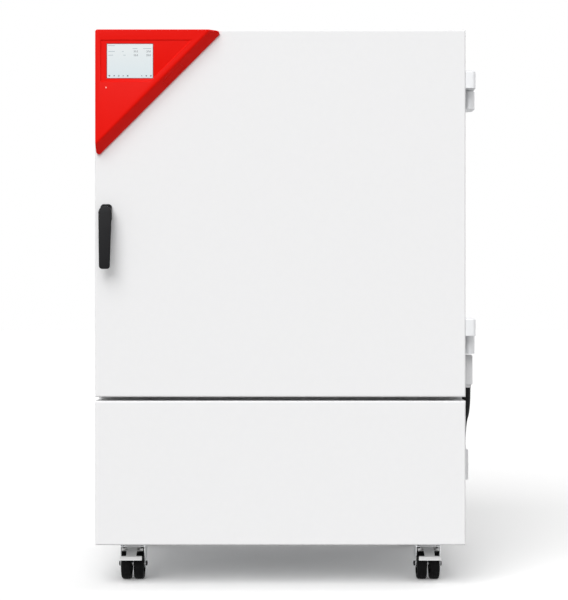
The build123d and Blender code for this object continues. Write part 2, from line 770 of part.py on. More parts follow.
def corner_radii(points):
    """The largest tangent radius at each corner, 0.45 of the shorter run over tan(turn / 2)."""
    radii = []
    for before, corner, after in zip(points, points[1:], points[2:]):
        run_in = Vector(*corner) - Vector(*before)
        run_out = Vector(*after) - Vector(*corner)
        half_turn = radians(run_in.get_angle(run_out) / 2)
        shorter = min(run_in.length, run_out.length)
        radii.append(0.45 * shorter * cos(half_turn) / max(sin(half_turn), 1e-6))
    return radii


conduit_radii = corner_radii(conduit_route)
with BuildPart() as door_cable:
    with BuildLine() as conduit_path:
        FilletPolyline(*conduit_route, radius=conduit_radii)
    with BuildSketch(level(cable_cover_floor)) as conduit_section:
        with Locations(conduit_route[0][:2]):
            Circle(conduit_radius)
    sweep(conduit_section.sketch, path=conduit_path.line)
print("conduit radii", [round(radius, 1) for radius in conduit_radii],
      "length", round(conduit_path.wires()[0].length, 1))

rocker_pocket = (rocker_width + 2 * seat_clearance, rocker_height + rocker_room)
switch_y = (switch_box_middle - switch_box_length / 2, switch_box_middle + switch_box_length / 2)
switch_z = switch_box_floor + switch_box_height * 0.52
box_face = side + switch_box_reach
rocker_pin_x = box_face - rocker_pin_depth
with BuildPart() as switch_box:
    block((side, box_face), switch_y, (switch_box_floor, switch_box_top))
    fillet(switch_box.faces().sort_by(Axis.X)[-1].edges(), radius=skin_edge_radius)
    with BuildSketch(sideways(box_face)) as pocket:
        with Locations((switch_box_middle, switch_z)):
            Rectangle(*rocker_pocket)
    extrude(pocket.sketch, amount=-16.0, mode=Mode.SUBTRACT)
    with BuildSketch(upright(switch_y[1])) as inlet:
        with Locations((side + switch_box_reach / 2, switch_z)):
            Rectangle(*inlet_size)
    extrude(inlet.sketch, amount=inlet_depth, mode=Mode.SUBTRACT)
    with BuildSketch(upright(switch_y[1] - inlet_depth)) as inlet_pins:
        with Locations((side + switch_box_reach / 2, switch_z)):
            with GridLocations(1, 7.0, 1, 3):
                Rectangle(5.0, 2.0)
    extrude(inlet_pins.sketch, amount=-12.0)
    with BuildSketch(upright(switch_box_middle + rocker_pocket[0] / 2)) as rocker_pin:
        with Locations((rocker_pin_x, switch_z)):
            Circle(rocker_pin_radius)
    extrude(rocker_pin.sketch, amount=rocker_pocket[0])

# Rocker in a pocket of the switch box, its upper half pressed in
with BuildPart() as main_switch:
    half = rocker_height / 2
    with BuildSketch(upright(switch_box_middle + rocker_width / 2)) as rocker:
        with BuildLine():
            Polyline((box_face, switch_z), (box_face, switch_z + half), (box_face - 8.0, switch_z + half - 4.0),
                     (box_face - 10.0, switch_z), (box_face - 5.5, switch_z - half + 2.5),
                     (box_face + half * sin(radians(rocker_tilt)),
                      switch_z - half * cos(radians(rocker_tilt))), close=True)
        make_face()
        with Locations((rocker_pin_x, switch_z)):
            Circle(rocker_pin_radius + shaft_clearance, mode=Mode.SUBTRACT)
    extrude(rocker.sketch, amount=rocker_width)

# Access port sleeve and its plug
sleeve_face = -side - 2.5
port_outer = port_radius + port_wall
with BuildPart() as access_port_sleeve:
    with BuildSketch(sideways(-chamber_side)) as tube:
        with Locations((port_depth, chamber_middle)):
            Circle(port_outer)
    extrude(tube.sketch, amount=sleeve_face + chamber_side)
    with BuildSketch(sideways(-side)) as sleeve_flange:
        with Locations((port_depth, chamber_middle)):
            Circle(port_radius + port_flange)
    extrude(sleeve_flange.sketch, amount=sleeve_face + side)
    port_hole(port_radius, sleeve_face - 1, -chamber_side + 1)

with BuildPart() as port_plug:
    plug_face = sleeve_face - seat_clearance
    with BuildSketch(sideways(plug_face)) as plug:
        with Locations((port_depth, chamber_middle)):
            Circle(port_radius - seat_clearance)
    extrude(plug.sketch, amount=plug_depth)
    with BuildSketch(sideways(plug_face)) as plug_cap:
        with Locations((port_depth, chamber_middle)):
            Circle(port_radius + port_flange - 2.0)
    extrude(plug_cap.sketch, amount=-7.0)

# Outer door: skin, insulation, lining with a raised field, and magnetic gasket
door_middle = (door_bottom + top) / 2
plunger_z = handle_pivot_z + handle_cam_height
plunger_bore = plunger_radius + seat_clearance


def plunger_hole(y_from, y_to):
    """Cut the plunger's bore through the door between two depths."""
    with BuildSketch(upright(y_from)) as hole:
        with Locations((handle_x, plunger_z)):
            Circle(plunger_bore)
    extrude(hole.sketch, amount=-(y_to - y_from), mode=Mode.SUBTRACT)


with BuildPart() as door_outer_skin:
    with BuildSketch(upright(0)):
        with Locations((0, door_middle)):
            Rectangle(width, door_height)
    extrude(amount=-(door_thickness - door_lining))
    fillet(door_outer_skin.faces().sort_by(Axis.Y)[0].edges(), radius=skin_edge_radius)
    block((skin - side, side - skin), (skin, door_thickness), (door_bottom + skin, top - skin),
          Mode.SUBTRACT)
    plunger_hole(-1, skin + 1)

with BuildPart() as door_insulation:
    block((skin - side, side - skin), (skin, door_thickness - door_lining),
          (door_bottom + skin, top - skin))
    chamfer(door_insulation.faces().sort_by(Axis.Y)[0].edges(), length=skin_edge_radius / 2)
    plunger_hole(0, door_thickness)

field_half = side - door_field_margin
field_rise = door_height / 2 - door_field_margin + 30.0
with BuildPart() as door_inner_panel:
    block((-side, side), (door_thickness - door_lining, door_thickness), (door_bottom, top))
    with BuildSketch(upright(door_thickness)) as field:
        with Locations((0, door_middle)):
            RectangleRounded(2 * field_half, 2 * field_rise, 16.0)
    extrude(field.sketch, amount=-door_field_height, taper=30)
    plunger_hole(door_thickness - 2 * door_lining, door_thickness + 1)

gasket_half = side - door_gasket_inset
gasket_rise = door_height / 2 - door_gasket_foot - 3.0
with BuildPart() as door_gasket:
    with BuildSketch(upright(body_front)):
        with Locations((0, door_middle)):
            Rectangle(2 * gasket_half, 2 * gasket_rise)
            Rectangle(2 * (gasket_half - door_gasket_width), 2 * (gasket_rise - door_gasket_width),
                      mode=Mode.SUBTRACT)
    extrude(amount=gasket_height)

# Instrument panel: a triangular moulded housing with a bevel along its long edge
panel_left = panel_margin - side
panel_ceiling = top - panel_margin
diagonal = 1 / sqrt(2)
bevel_rise = panel_depth - panel_rim
bevel_slope = sqrt(bevel_width ** 2 + bevel_rise ** 2)
bevel_outward = bevel_rise / bevel_slope
bevel_forward = bevel_width / bevel_slope


def bevel_plane(inset, along=0.5, across=0.0):
    """The plane of the bevel, moved inwards, at a share of its length and a share of its width."""
    x = panel_left + panel_leg * along
    z = panel_ceiling - panel_leg * (1 - along)
    normal = Vector(bevel_outward * diagonal, -bevel_forward, -bevel_outward * diagonal)
    point = Vector(x - bevel_width * across * diagonal, -panel_rim - bevel_rise * across,
                   z + bevel_width * across * diagonal)
    return Plane(origin=point - normal * inset, x_dir=(diagonal, 0, diagonal), z_dir=normal)


def panel_form(inset):
    """The housing's outer form, or the smaller one that hollows it out."""
    reach = panel_leg - inset * (2 + sqrt(2))
    with BuildPart() as form:
        with BuildSketch(upright(0)) as triangle:
            with BuildLine():
                corner = (panel_left + inset, panel_ceiling - inset)
                Polyline(corner, (corner[0], corner[1] - reach), (corner[0] + reach, corner[1]), close=True)
            make_face()
            if inset == 0:
                fillet(triangle.vertices(), radius=panel_corner_radius)
        extrude(amount=panel_depth - inset)
        split(bisect_by=bevel_plane(inset), keep=Keep.BOTTOM)
    return form


socket_plane = bevel_plane(0, socket_cover_along, socket_cover_across)
cover_round = socket_cover_thickness / 2
cover_pin_point = socket_plane.from_local_coords(Vector(0, cover_round - socket_cover_width / 2, -cover_round))
cover_pin_plane = Plane(origin=cover_pin_point, z_dir=socket_plane.x_dir)
socket_window = (14.0, 7.0)
dish_corner = (panel_left + dish_left, panel_ceiling - dish_drop)
screen_middle = (panel_left + screen_left + screen_width / 2,
                 panel_ceiling - screen_drop - screen_height / 2)
with BuildPart() as instrument_panel:
    add(panel_form(0).part)
    fillet(instrument_panel.faces().sort_by(Axis.Y)[0].edges().sort_by(SortBy.LENGTH)[-1:],
           radius=bevel_edge_radius)
    front_rim = instrument_panel.faces().sort_by(Axis.Y)[0].edges().sort_by(SortBy.LENGTH)[:-1]
    fillet(front_rim, radius=panel_edge_radius)
    add(panel_form(panel_wall).part, mode=Mode.SUBTRACT)
    with BuildSketch(upright(-panel_depth)) as dish:
        with BuildLine():
            Polyline(dish_corner, (dish_corner[0], dish_corner[1] - dish_height),
                     (dish_corner[0] + dish_floor_length, dish_corner[1] - dish_height),
                     (dish_corner[0] + dish_top_length, dish_corner[1]), close=True)
        make_face()
    extrude(dish.sketch, amount=-dish_depth, taper=45, mode=Mode.SUBTRACT)
    with BuildSketch(upright(-panel_depth)) as window:
        with Locations(screen_middle):
            Rectangle(screen_width + 2 * seat_clearance, screen_height + 2 * seat_clearance)
    extrude(window.sketch, amount=-2 * panel_wall, mode=Mode.SUBTRACT)
    with BuildSketch(socket_plane) as cover_pocket:
        Rectangle(socket_cover_length + 2 * flap_clearance, socket_cover_width + 2 * flap_clearance)
    extrude(cover_pocket.sketch, amount=-(socket_cover_thickness + seat_clearance), mode=Mode.SUBTRACT)
    with BuildSketch(socket_plane) as socket_hole:
        Rectangle(*socket_window)
    extrude(socket_hole.sketch, amount=-2 * panel_wall, mode=Mode.SUBTRACT)
    with BuildSketch(cover_pin_plane) as cover_pin:
        Circle(socket_pin_radius)
    extrude(cover_pin.sketch, amount=socket_cover_length / 2 + flap_clearance, both=True)

# Socket cover, turned on a pin in the round of its lower long edge
with BuildPart() as usb_cover:
    with BuildSketch(socket_plane):
        with Locations((0, cover_round / 2)):
            RectangleRounded(socket_cover_length, socket_cover_width - cover_round, 1.2)
    extrude(amount=-socket_cover_thickness)
    with BuildSketch(cover_pin_plane) as cover_edge:
        Circle(cover_round)
    extrude(cover_edge.sketch, amount=socket_cover_length / 2, both=True)
    with BuildSketch(cover_pin_plane) as cover_bore:
        Circle(socket_pin_radius + shaft_clearance)
    extrude(cover_bore.sketch, amount=socket_cover_length / 2 + 1, both=True, mode=Mode.SUBTRACT)

# Touch screen: glass in the dish, a frame behind the wall and the module
screen_front = -panel_depth + dish_depth + screen_sink
wall_rear = -panel_depth + panel_wall
screen_frame = 2.0
with BuildPart() as touch_screen:
    with BuildSketch(upright(wall_rear)) as glass:
        with Locations(screen_middle):
            Rectangle(screen_width, screen_height)
    extrude(glass.sketch, amount=wall_rear - screen_front)
    with BuildSketch(upright(wall_rear)) as frame:
        with Locations(screen_middle):
            Rectangle(screen_width + 2 * screen_frame, screen_height + 2 * screen_frame)
    extrude(frame.sketch, amount=-2.5)
    with BuildSketch(upright(wall_rear + 2.5)) as module:
        with Locations(screen_middle):
            Rectangle(screen_width - 12.0, screen_height - 10.0)
    extrude(module.sketch, amount=-10.0)

# Handle base with two cheeks and the pin between them
handle_pivot_y = -handle_pivot_reach
base_plate = 4.0
cheek_inner = 9.5
cheek_outer = 14.0
cheek_radius = 7.0
with BuildPart() as handle_base:
    with BuildSketch(upright(0)):
        with Locations((handle_x, handle_pivot_z - 2.0)):
            RectangleRounded(2 * cheek_outer, 44.0, 8.0)
    extrude(amount=base_plate)
    with BuildSketch(sideways(handle_x - cheek_outer)) as cheek:
        with Locations((handle_pivot_y, handle_pivot_z)):
            Circle(cheek_radius)
        with Locations((-base_plate / 2, handle_pivot_z)):
            Rectangle(base_plate, 30.0)
        make_hull()
    extrude(cheek.sketch, amount=2 * cheek_outer)
    block((handle_x - cheek_inner, handle_x + cheek_inner), (handle_pivot_y - cheek_radius - 1, -base_plate),
          (handle_pivot_z - 20.0, handle_pivot_z + 20.0), Mode.SUBTRACT)
    with BuildSketch(sideways(handle_x - cheek_outer)) as pivot_pin:
        with Locations((handle_pivot_y, handle_pivot_z)):
            Circle(handle_pin_radius)
    extrude(pivot_pin.sketch, amount=2 * cheek_outer)
    block((handle_x - handle_cam_radius - 1.5, handle_x + handle_cam_radius + 1.5), (-base_plate - 1, 1),
          (handle_pivot_z + 2.0, plunger_z + plunger_bore), Mode.SUBTRACT)

# Handle lever: a tongue, round at the top, that stands further off the door towards its foot
tongue_front_top = -30.0
tongue_front_foot = -44.0
tongue_thickness = 9.0
handle_foot = handle_top - handle_length
lug_half = cheek_inner - 0.5
lug_radius = 6.5
with BuildPart() as handle_lever:
    with BuildSketch(upright(tongue_front_foot)) as tongue_outline:
        with Locations((handle_x, handle_pivot_z)):
            Circle(handle_width / 2)
        with Locations((handle_x, handle_foot + handle_foot_radius)):
            RectangleRounded(handle_foot_width, 2 * handle_foot_radius - 0.01, handle_foot_radius - 0.02)
        make_hull()
    extrude(tongue_outline.sketch, amount=tongue_front_foot)
    with BuildSketch(sideways(handle_x - handle_width)) as tongue_side:
        with BuildLine():
            outer_top = (tongue_front_top, handle_top)
            outer_foot = (tongue_front_foot, handle_foot)
            inner_foot = (tongue_front_foot + tongue_thickness - 1.0, handle_foot)
            inner_top = (tongue_front_top + tongue_thickness, handle_top)
            inner_middle = ((inner_foot[0] + inner_top[0]) / 2 - 1.5, (handle_foot + handle_top) / 2)
            outer_middle = ((outer_foot[0] + outer_top[0]) / 2 - 2.5, (handle_foot + handle_top) / 2)
            ThreePointArc(outer_top, outer_middle, outer_foot)
            Line(outer_foot, inner_foot)
            ThreePointArc(inner_foot, inner_middle, inner_top)
            Line(inner_top, outer_top)
        make_face()
    extrude(tongue_side.sketch, amount=2 * handle_width, mode=Mode.INTERSECT)
    front_edges = handle_lever.faces().sort_by(Axis.Y)[0].outer_wire().edges()
    fillet(front_edges, radius=2.0)
    with BuildSketch(sideways(handle_x - lug_half)) as lug:
        with Locations((handle_pivot_y, handle_pivot_z)):
            Circle(lug_radius)
        with Locations((tongue_front_top + tongue_thickness / 2, handle_pivot_z)):
            Rectangle(2.0, 24.0)
        make_hull()
    extrude(lug.sketch, amount=2 * lug_half)
    with BuildSketch(sideways(handle_x - handle_cam_radius)) as cam:
        with Locations((handle_pivot_y + handle_cam_reach, handle_pivot_z + handle_cam_height)):
            Circle(handle_cam_radius)
        with Locations((tongue_front_top + tongue_thickness / 2, handle_pivot_z + handle_cam_height - 2.0)):
            Rectangle(2.0, 6.0)
        make_hull()
    extrude(cam.sketch, amount=2 * handle_cam_radius)
    with BuildSketch(sideways(handle_x - handle_width)) as lever_bore:
        with Locations((handle_pivot_y, handle_pivot_z)):
            Circle(handle_pin_radius + shaft_clearance)
    extrude(lever_bore.sketch, amount=2 * handle_width, mode=Mode.SUBTRACT)

# Plunger that the handle's cam pushes through the door
cam_face = handle_pivot_y + handle_cam_reach + handle_cam_radius
with BuildPart() as release_plunger:
    with BuildSketch(upright(cam_face + plunger_gap)):
        with Locations((handle_x, plunger_z)):
            Circle(plunger_radius)
    extrude(amount=-(body_front - plunger_stop - cam_face - plunger_gap))

# Casters
crown_top = ground_clearance - plate_thickness - race_height - seat_clearance
axle_height = wheel_radius
caster_x = side - caster_inset
caster_places = {
    "front_left": (-caster_x, front_caster_depth),
    "front_right": (caster_x, front_caster_depth),
    "rear_left": (-caster_x, rear_caster_depth),
    "rear_right": (caster_x, rear_caster_depth),
}
kingpin_head = 9.0
kingpin_tip = crown_top - crown_thickness - seat_clearance - 3.0

with BuildPart() as caster_plates:
    for place in caster_places.values():
        with BuildSketch(level(ground_clearance - plate_thickness)) as plate:
            with Locations(place):
                RectangleRounded(90.0, 74.0, 8.0)
        extrude(plate.sketch, amount=plate_thickness)
        with BuildSketch(level(crown_top + seat_clearance)) as race:
            with Locations(place):
                Circle(race_radius)
        extrude(race.sketch, amount=race_height)
        with BuildSketch(level(kingpin_tip)) as kingpin:
            with Locations(place):
                Circle(kingpin_radius)
        extrude(kingpin.sketch, amount=ground_clearance - kingpin_tip)
        with BuildSketch(level(kingpin_tip)) as retaining_head:
            with Locations(place):
                Circle(kingpin_head)
        extrude(retaining_head.sketch, amount=3.0)


def caster_fork(place, has_pedal):
    """A stamped fork: crown, two legs, the axle between them and a pedal's pin."""
    x, y = place
    axle_y = y - caster_trail
    crown_rear = y + race_radius
    crown_front = y - race_radius * 0.9
    leg_front = y - pedal_pivot_ahead - 6.0 if has_pedal else crown_front - 6.0
    with BuildPart() as fork:
        block((x - fork_width / 2, x + fork_width / 2), (crown_front, crown_rear),
              (crown_top - crown_thickness, crown_top))
        with BuildSketch(sideways(x - fork_width / 2)) as leg:
            with Locations((axle_y, axle_height)):
                Circle(12.0)
            with Locations(((leg_front + crown_rear) / 2, crown_top - 4.5)):
                Rectangle(crown_rear - leg_front, 9.0)
            make_hull()
        extrude(leg.sketch, amount=fork_sheet)
        extrude(leg.sketch.moved(Location((fork_width - fork_sheet, 0, 0))), amount=fork_sheet)
        with BuildSketch(level(crown_top + 1)) as kingpin_bore:
            with Locations(place):
                Circle(kingpin_radius + shaft_clearance)
        extrude(kingpin_bore.sketch, amount=-crown_thickness - 2, mode=Mode.SUBTRACT)
        with BuildSketch(sideways(x - axle_length / 2)) as axle:
            with Locations((axle_y, axle_height)):
                Circle(axle_radius)
        extrude(axle.sketch, amount=axle_length)
        if has_pedal:
            with BuildSketch(sideways(x - fork_width / 2)) as pedal_pin:
                with Locations((y - pedal_pivot_ahead, pedal_pivot_height)):
                    Circle(pedal_pin_radius)
            extrude(pedal_pin.sketch, amount=fork_width)
    return fork


def caster_wheel(place, hand):
    """One of a caster's two wheels, turned about its axle: hub, web, rim and tyre."""
    x, y = place
    middle = x + hand * (wheel_pair_width - wheel_width) / 2
    bore = axle_radius + shaft_clearance
    half = wheel_width / 2
    shoulder = 5.0
    web = 3.0
    with BuildPart() as wheel:
        with BuildSketch(level(axle_height)) as profile:
            with BuildLine():
                Polyline((middle - half, bore), (middle - half, 13.0), (middle - web, 15.0),
                         (middle - web, 27.0), (middle - half, 29.0),
                         (middle - half, wheel_radius - shoulder),
                         (middle - half + shoulder, wheel_radius),
                         (middle + half - shoulder, wheel_radius),
                         (middle + half, wheel_radius - shoulder), (middle + half, 29.0),
                         (middle + web, 27.0), (middle + web, 15.0), (middle + half, 13.0),
                         (middle + half, bore), close=True)
            make_face()
        revolve(profile.sketch.moved(Location((0, y - caster_trail, 0))),
                axis=Axis((0, y - caster_trail, axle_height), (1, 0, 0)))
    return wheel


# Brake pedal: barrel on the fork's pin, a stem down in front of the wheels and a foot bar
pedal_half = 13.0
pedal_sheet = 3.0
foot_half = 27.5
foot_size = (10.0, 10.0)
foot_ahead = 98.0
foot_height = 53.0
barrel_radius = 5.0
barrel_half = 20.0
pad_size = (6.0, 6.0)
pad_ahead = 62.0
pad_height = 79.0


def brake_pedal(place):
    """The pedal of one front caster."""
    x, y = place
    pivot = (y - pedal_pivot_ahead, pedal_pivot_height)
    with BuildPart() as pedal:
        with BuildSketch(sideways(x - barrel_half)) as barrel:
            with Locations(pivot):
                Circle(barrel_radius)
        extrude(barrel.sketch, amount=2 * barrel_half)
        with BuildSketch(sideways(x - pedal_half)) as stem:
            with BuildLine() as stem_line:
                Polyline((pivot[0] - 1.0, pivot[1]), (y - 74.0, 77.0), (y - 88.0, 64.0),
                         (y - foot_ahead, foot_height))
            trace(line_width=pedal_sheet)
        extrude(stem.sketch, amount=2 * pedal_half)
        with BuildSketch(sideways(x - foot_half)) as foot_bar:
            with Locations((y - foot_ahead, foot_height)):
                Rectangle(*foot_size)
        extrude(foot_bar.sketch, amount=2 * foot_half)
        with BuildSketch(sideways(x - foot_half)) as pad:
            with Locations((y - pad_ahead, pad_height)):
                Rectangle(*pad_size)
        extrude(pad.sketch, amount=2 * foot_half)
        with BuildSketch(sideways(x - barrel_half - 1)) as pedal_bore:
            with Locations(pivot):
                Circle(pedal_pin_radius + shaft_clearance)
        extrude(pedal_bore.sketch, amount=2 * barrel_half + 2, mode=Mode.SUBTRACT)
    return pedal


pieces = {
    "side_panel_left": side_panel_left,
    "side_panel_right": side_panel_right,
    "top_panel": top_panel,
    "rear_panel": rear_panel,
    "base_frame": base_frame,
    "lower_front_panel": lower_front_panel,
    "divider_plate": divider_plate,
    "front_frame": front_frame,
    "chamber_liner": chamber_liner,
    "insulation_jacket": insulation_jacket,
    "air_ducts": air_ducts,
    "rear_air_panel": rear_air_panel,
    "fan_wheel": fan_wheel,
    "fan_motor": fan_motor,
    "air_heater": air_heater,
    "evaporator": evaporator,
    "chamber_gasket": chamber_gasket,
    "compressor": compressor,
    "condenser": condenser,
    "condenser_fan": condenser_fan,
    "refrigerant_lines": refrigerant_lines,
    "control_box": control_box,
    "hinge_body_leaves": hinge_body_leaves,
    "hinge_door_leaves": hinge_door_leaves,
    "glass_hinge_brackets": glass_hinge_brackets,
    "glass_pane": glass_pane,
    "glass_door_fittings": glass_door_fittings,
    "shelf_upper": shelf_upper,
    "shelf_lower": shelf_lower,
    "cable_cover": cable_cover,
    "door_cable": door_cable,
    "switch_box": switch_box,
    "main_switch": main_switch,
    "access_port_sleeve": access_port_sleeve,
    "port_plug": port_plug,
    "door_outer_skin": door_outer_skin,
    "door_inner_panel": door_inner_panel,
    "door_insulation": door_insulation,
    "door_gasket": door_gasket,
    "instrument_panel": instrument_panel,
    "touch_screen": touch_screen,
    "usb_cover": usb_cover,
    "handle_base": handle_base,
    "handle_lever": handle_lever,
    "release_plunger": release_plunger,
    "caster_plates": caster_plates,
}
for place_name, place in caster_places.items():
    braked = place_name.startswith("front")
    pieces["caster_fork_" + place_name] = caster_fork(place, braked)
    pieces["caster_wheel_" + place_name + "_outer"] = caster_wheel(place, 1 if place[0] > 0 else -1)
    pieces["caster_wheel_" + place_name + "_inner"] = caster_wheel(place, -1 if place[0] > 0 else 1)
    if braked:
        pieces["brake_pedal_" + place_name] = brake_pedal(place)

# Everything moves so that the origin is the bottom centre of the whole object
boxes = [piece.part.bounding_box() for piece in pieces.values()]
origin_x = (min(box.min.X for box in boxes) + max(box.max.X for box in boxes)) / 2
origin_y = (min(box.min.Y for box in boxes) + max(box.max.Y for box in boxes)) / 2
to_origin = Location((-origin_x, -origin_y, 0))

os.makedirs("parts", exist_ok=True)
for name, piece in pieces.items():
    placed = piece.part.moved(to_origin)
    placed.label = name
    export_step(placed, f"parts/{name}.step")
print("origin", round(origin_x, 3), round(origin_y, 3), "pieces", len(pieces))
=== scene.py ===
"""Dresses the refrigerated incubator: finishes, cords, small parts, floor, light and camera.

Sizes are in the drawing's millimetres, from the middle of the cabinet, the door's front face
and the floor, and DesignFrame turns them into the frame's metres.
"""

from __future__ import annotations

import logging
from dataclasses import dataclass
from enum import Enum
from math import pi, radians

import bmesh
import bpy
import numpy as np
from mathutils import Euler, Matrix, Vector

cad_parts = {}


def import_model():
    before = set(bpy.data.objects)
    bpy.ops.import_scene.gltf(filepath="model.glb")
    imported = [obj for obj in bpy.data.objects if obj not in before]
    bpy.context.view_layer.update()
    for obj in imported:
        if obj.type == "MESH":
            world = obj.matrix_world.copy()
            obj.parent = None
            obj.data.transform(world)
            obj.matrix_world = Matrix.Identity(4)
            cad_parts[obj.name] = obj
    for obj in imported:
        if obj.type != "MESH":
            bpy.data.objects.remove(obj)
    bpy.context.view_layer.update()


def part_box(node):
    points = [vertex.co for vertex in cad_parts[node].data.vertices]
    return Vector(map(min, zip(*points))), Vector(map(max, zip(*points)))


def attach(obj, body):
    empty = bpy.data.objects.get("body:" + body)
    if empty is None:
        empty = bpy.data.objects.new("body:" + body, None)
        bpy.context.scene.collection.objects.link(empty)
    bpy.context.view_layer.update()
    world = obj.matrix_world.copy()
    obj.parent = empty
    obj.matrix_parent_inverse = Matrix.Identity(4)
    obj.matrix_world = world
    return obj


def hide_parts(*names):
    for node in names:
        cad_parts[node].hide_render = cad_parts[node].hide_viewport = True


LOG = logging.getLogger("incubator")
MM = 0.001

# How a finish's grain shows: shares of its size, of its roughness range and of its colour
BRUSH_STRETCH = 0.012
NOISE_DETAIL = 3.0
RELIEF_SHARE = 0.25
BROAD_SHARE = 0.12
DARKER_SHARE = 0.25
LIGHTER_SHARE = 0.1
COAT_ROUGHNESS = 0.12

# Distances in millimetres and angles in degrees for cleaning, shading and bevelling meshes
SEAM_MERGE = 0.004
SLIVER = 0.002
COPY_MERGE = 0.005
FLAT_ANGLE = 0.6
COPY_SHARP_ANGLE = 30.0
BEVEL_ANGLE = 38.0
BEVEL_SEGMENTS = 2


class Grain(Enum):
    """The fine relief that a finish shows up close."""

    SMOOTH = "smooth"
    PEEL = "peel"
    SPARK = "spark"
    BRUSHED_ACROSS = "brushed across"
    BRUSHED_UP = "brushed up"
    MOTTLED = "mottled"
    CELLS = "cells"


@dataclass(frozen=True)
class Finish:
    """One finish of the object, with the grain that its relief and colour vary by."""

    name: str
    slot: str
    color: tuple[float, float, float]
    roughness: float
    metallic: float = 0.0
    grain: Grain = Grain.SMOOTH
    grain_size: float = 1.0
    relief: float = 0.0
    variation: float = 0.0
    coat: float = 0.0
    glow: float = 0.0
    clear: float = 0.0
    specular: float = 0.5

    def build(self) -> bpy.types.Material:
        """Make the material once; one of the same name that is there already is taken as it is.

        Returns:
            The material. The nodes of a new one read Object coordinates.
        """
        found = bpy.data.materials.get(self.name)
        if found:
            return found
        material = bpy.data.materials.new(self.name)
        material.use_nodes = True
        shader = material.node_tree.nodes["Principled BSDF"]
        shader.inputs["Base Color"].default_value = (*self.color, 1.0)
        shader.inputs["Roughness"].default_value = self.roughness
        shader.inputs["Metallic"].default_value = self.metallic
        shader.inputs["Specular IOR Level"].default_value = self.specular
        shader.inputs["Coat Weight"].default_value = self.coat
        shader.inputs["Coat Roughness"].default_value = COAT_ROUGHNESS
        shader.inputs["Transmission Weight"].default_value = self.clear
        shader.inputs["Emission Color"].default_value = (*self.color, 1.0)
        shader.inputs["Emission Strength"].default_value = self.glow
        if self.grain is not Grain.SMOOTH:
            self._add_grain(material.node_tree, shader)
        return material

    def _stretch(self) -> tuple[float, float, float]:
        """How the pattern is stretched along each axis.

        Returns:
            The shares of its density along x, y and z.
        """
        return {
            Grain.BRUSHED_ACROSS: (BRUSH_STRETCH, 1.0, 1.0),
            Grain.BRUSHED_UP: (1.0, 1.0, BRUSH_STRETCH),
        }.get(self.grain, (1.0, 1.0, 1.0))

    def _add_grain(self, tree: bpy.types.NodeTree, shader: bpy.types.Node) -> None:
        """Drive bump, roughness and colour from one noise or cell pattern.

        Args:
            tree: the material's node tree.
            shader: its surface shader.
        """
        make, link = tree.nodes.new, tree.links.new
        place = make("ShaderNodeTexCoord")
        mapping = make("ShaderNodeMapping")
        mapping.inputs["Scale"].default_value = self._stretch()
        link(place.outputs["Object"], mapping.inputs["Vector"])
        if self.grain is Grain.CELLS:
            pattern = make("ShaderNodeTexVoronoi")
            height = pattern.outputs["Distance"]
        else:
            pattern = make("ShaderNodeTexNoise")
            pattern.inputs["Detail"].default_value = NOISE_DETAIL
            height = pattern.outputs[0]
        pattern.inputs["Scale"].default_value = 1.0 / (self.grain_size * MM)
        link(mapping.outputs["Vector"], pattern.inputs["Vector"])
        bump = make("ShaderNodeBump")
        bump.inputs["Strength"].default_value = self.relief
        bump.inputs["Distance"].default_value = self.grain_size * MM * RELIEF_SHARE
        link(height, bump.inputs["Height"])
        link(bump.outputs["Normal"], shader.inputs["Normal"])
        rough = make("ShaderNodeMapRange")
        rough.inputs["To Min"].default_value = max(self.roughness - self.variation * 0.5, 0.02)
        rough.inputs["To Max"].default_value = min(self.roughness + self.variation * 0.5, 1.0)
        link(height, rough.inputs["Value"])
        link(rough.outputs["Result"], shader.inputs["Roughness"])
        broad = make("ShaderNodeTexNoise")
        broad.inputs["Scale"].default_value = BROAD_SHARE / (self.grain_size * MM)
        link(mapping.outputs["Vector"], broad.inputs["Vector"])
        tint = make("ShaderNodeMix")
        tint.data_type = "RGBA"
        darker, lighter = 1 - self.variation * DARKER_SHARE, 1 + self.variation * LIGHTER_SHARE
        tint.inputs["A"].default_value = (*(c * darker for c in self.color), 1.0)
        tint.inputs["B"].default_value = (*(min(c * lighter, 1.0) for c in self.color), 1.0)
        link(broad.outputs[0], tint.inputs["Factor"])
        link(tint.outputs["Result"], shader.inputs["Base Color"])


# A finish with the name of one of the frame's slots shows the frame's own plain material
WHITE_COAT = Finish("white_powder_coat", "white_paint", (0.865, 0.865, 0.87), 0.42, grain=Grain.PEEL,
                    grain_size=1.6, relief=0.05, variation=0.05, specular=0.3)
PANEL_RED = Finish("housing_red", "panel_red", (0.82, 0.004, 0.0), 0.36, grain=Grain.SPARK,
                   grain_size=0.5, relief=0.06, variation=0.08, specular=0.1)
HANDLE_BLACK = Finish("handle_black", "black_plastic", (0.008, 0.008, 0.009), 0.38, grain=Grain.SPARK,
                      grain_size=0.45, relief=0.12, variation=0.15, specular=0.12)
CONDUIT_BLACK = Finish("conduit_black", "black_plastic", (0.007, 0.007, 0.008), 0.46, grain=Grain.SPARK,
                       grain_size=0.6, relief=0.1, variation=0.15, specular=0.1)
LIGHT_GREY = Finish("light_grey_plastic", "grey_plastic", (0.80, 0.80, 0.81), 0.45, grain=Grain.SPARK,
                    grain_size=0.5, relief=0.1, variation=0.1)
HINGE_GREY = Finish("hinge_grey", "hinge_grey", (0.70, 0.705, 0.72), 0.4, grain=Grain.PEEL,
                    grain_size=0.9, relief=0.08, variation=0.1)
STAINLESS = Finish("brushed_stainless_across", "stainless", (0.66, 0.66, 0.65), 0.32, metallic=1.0,
                   grain=Grain.BRUSHED_ACROSS, grain_size=0.5, relief=0.1, variation=0.2)
STAINLESS_UP = Finish("brushed_stainless_up", "stainless", (0.66, 0.66, 0.65), 0.34, metallic=1.0,
                      grain=Grain.BRUSHED_UP, grain_size=0.5, relief=0.1, variation=0.2)
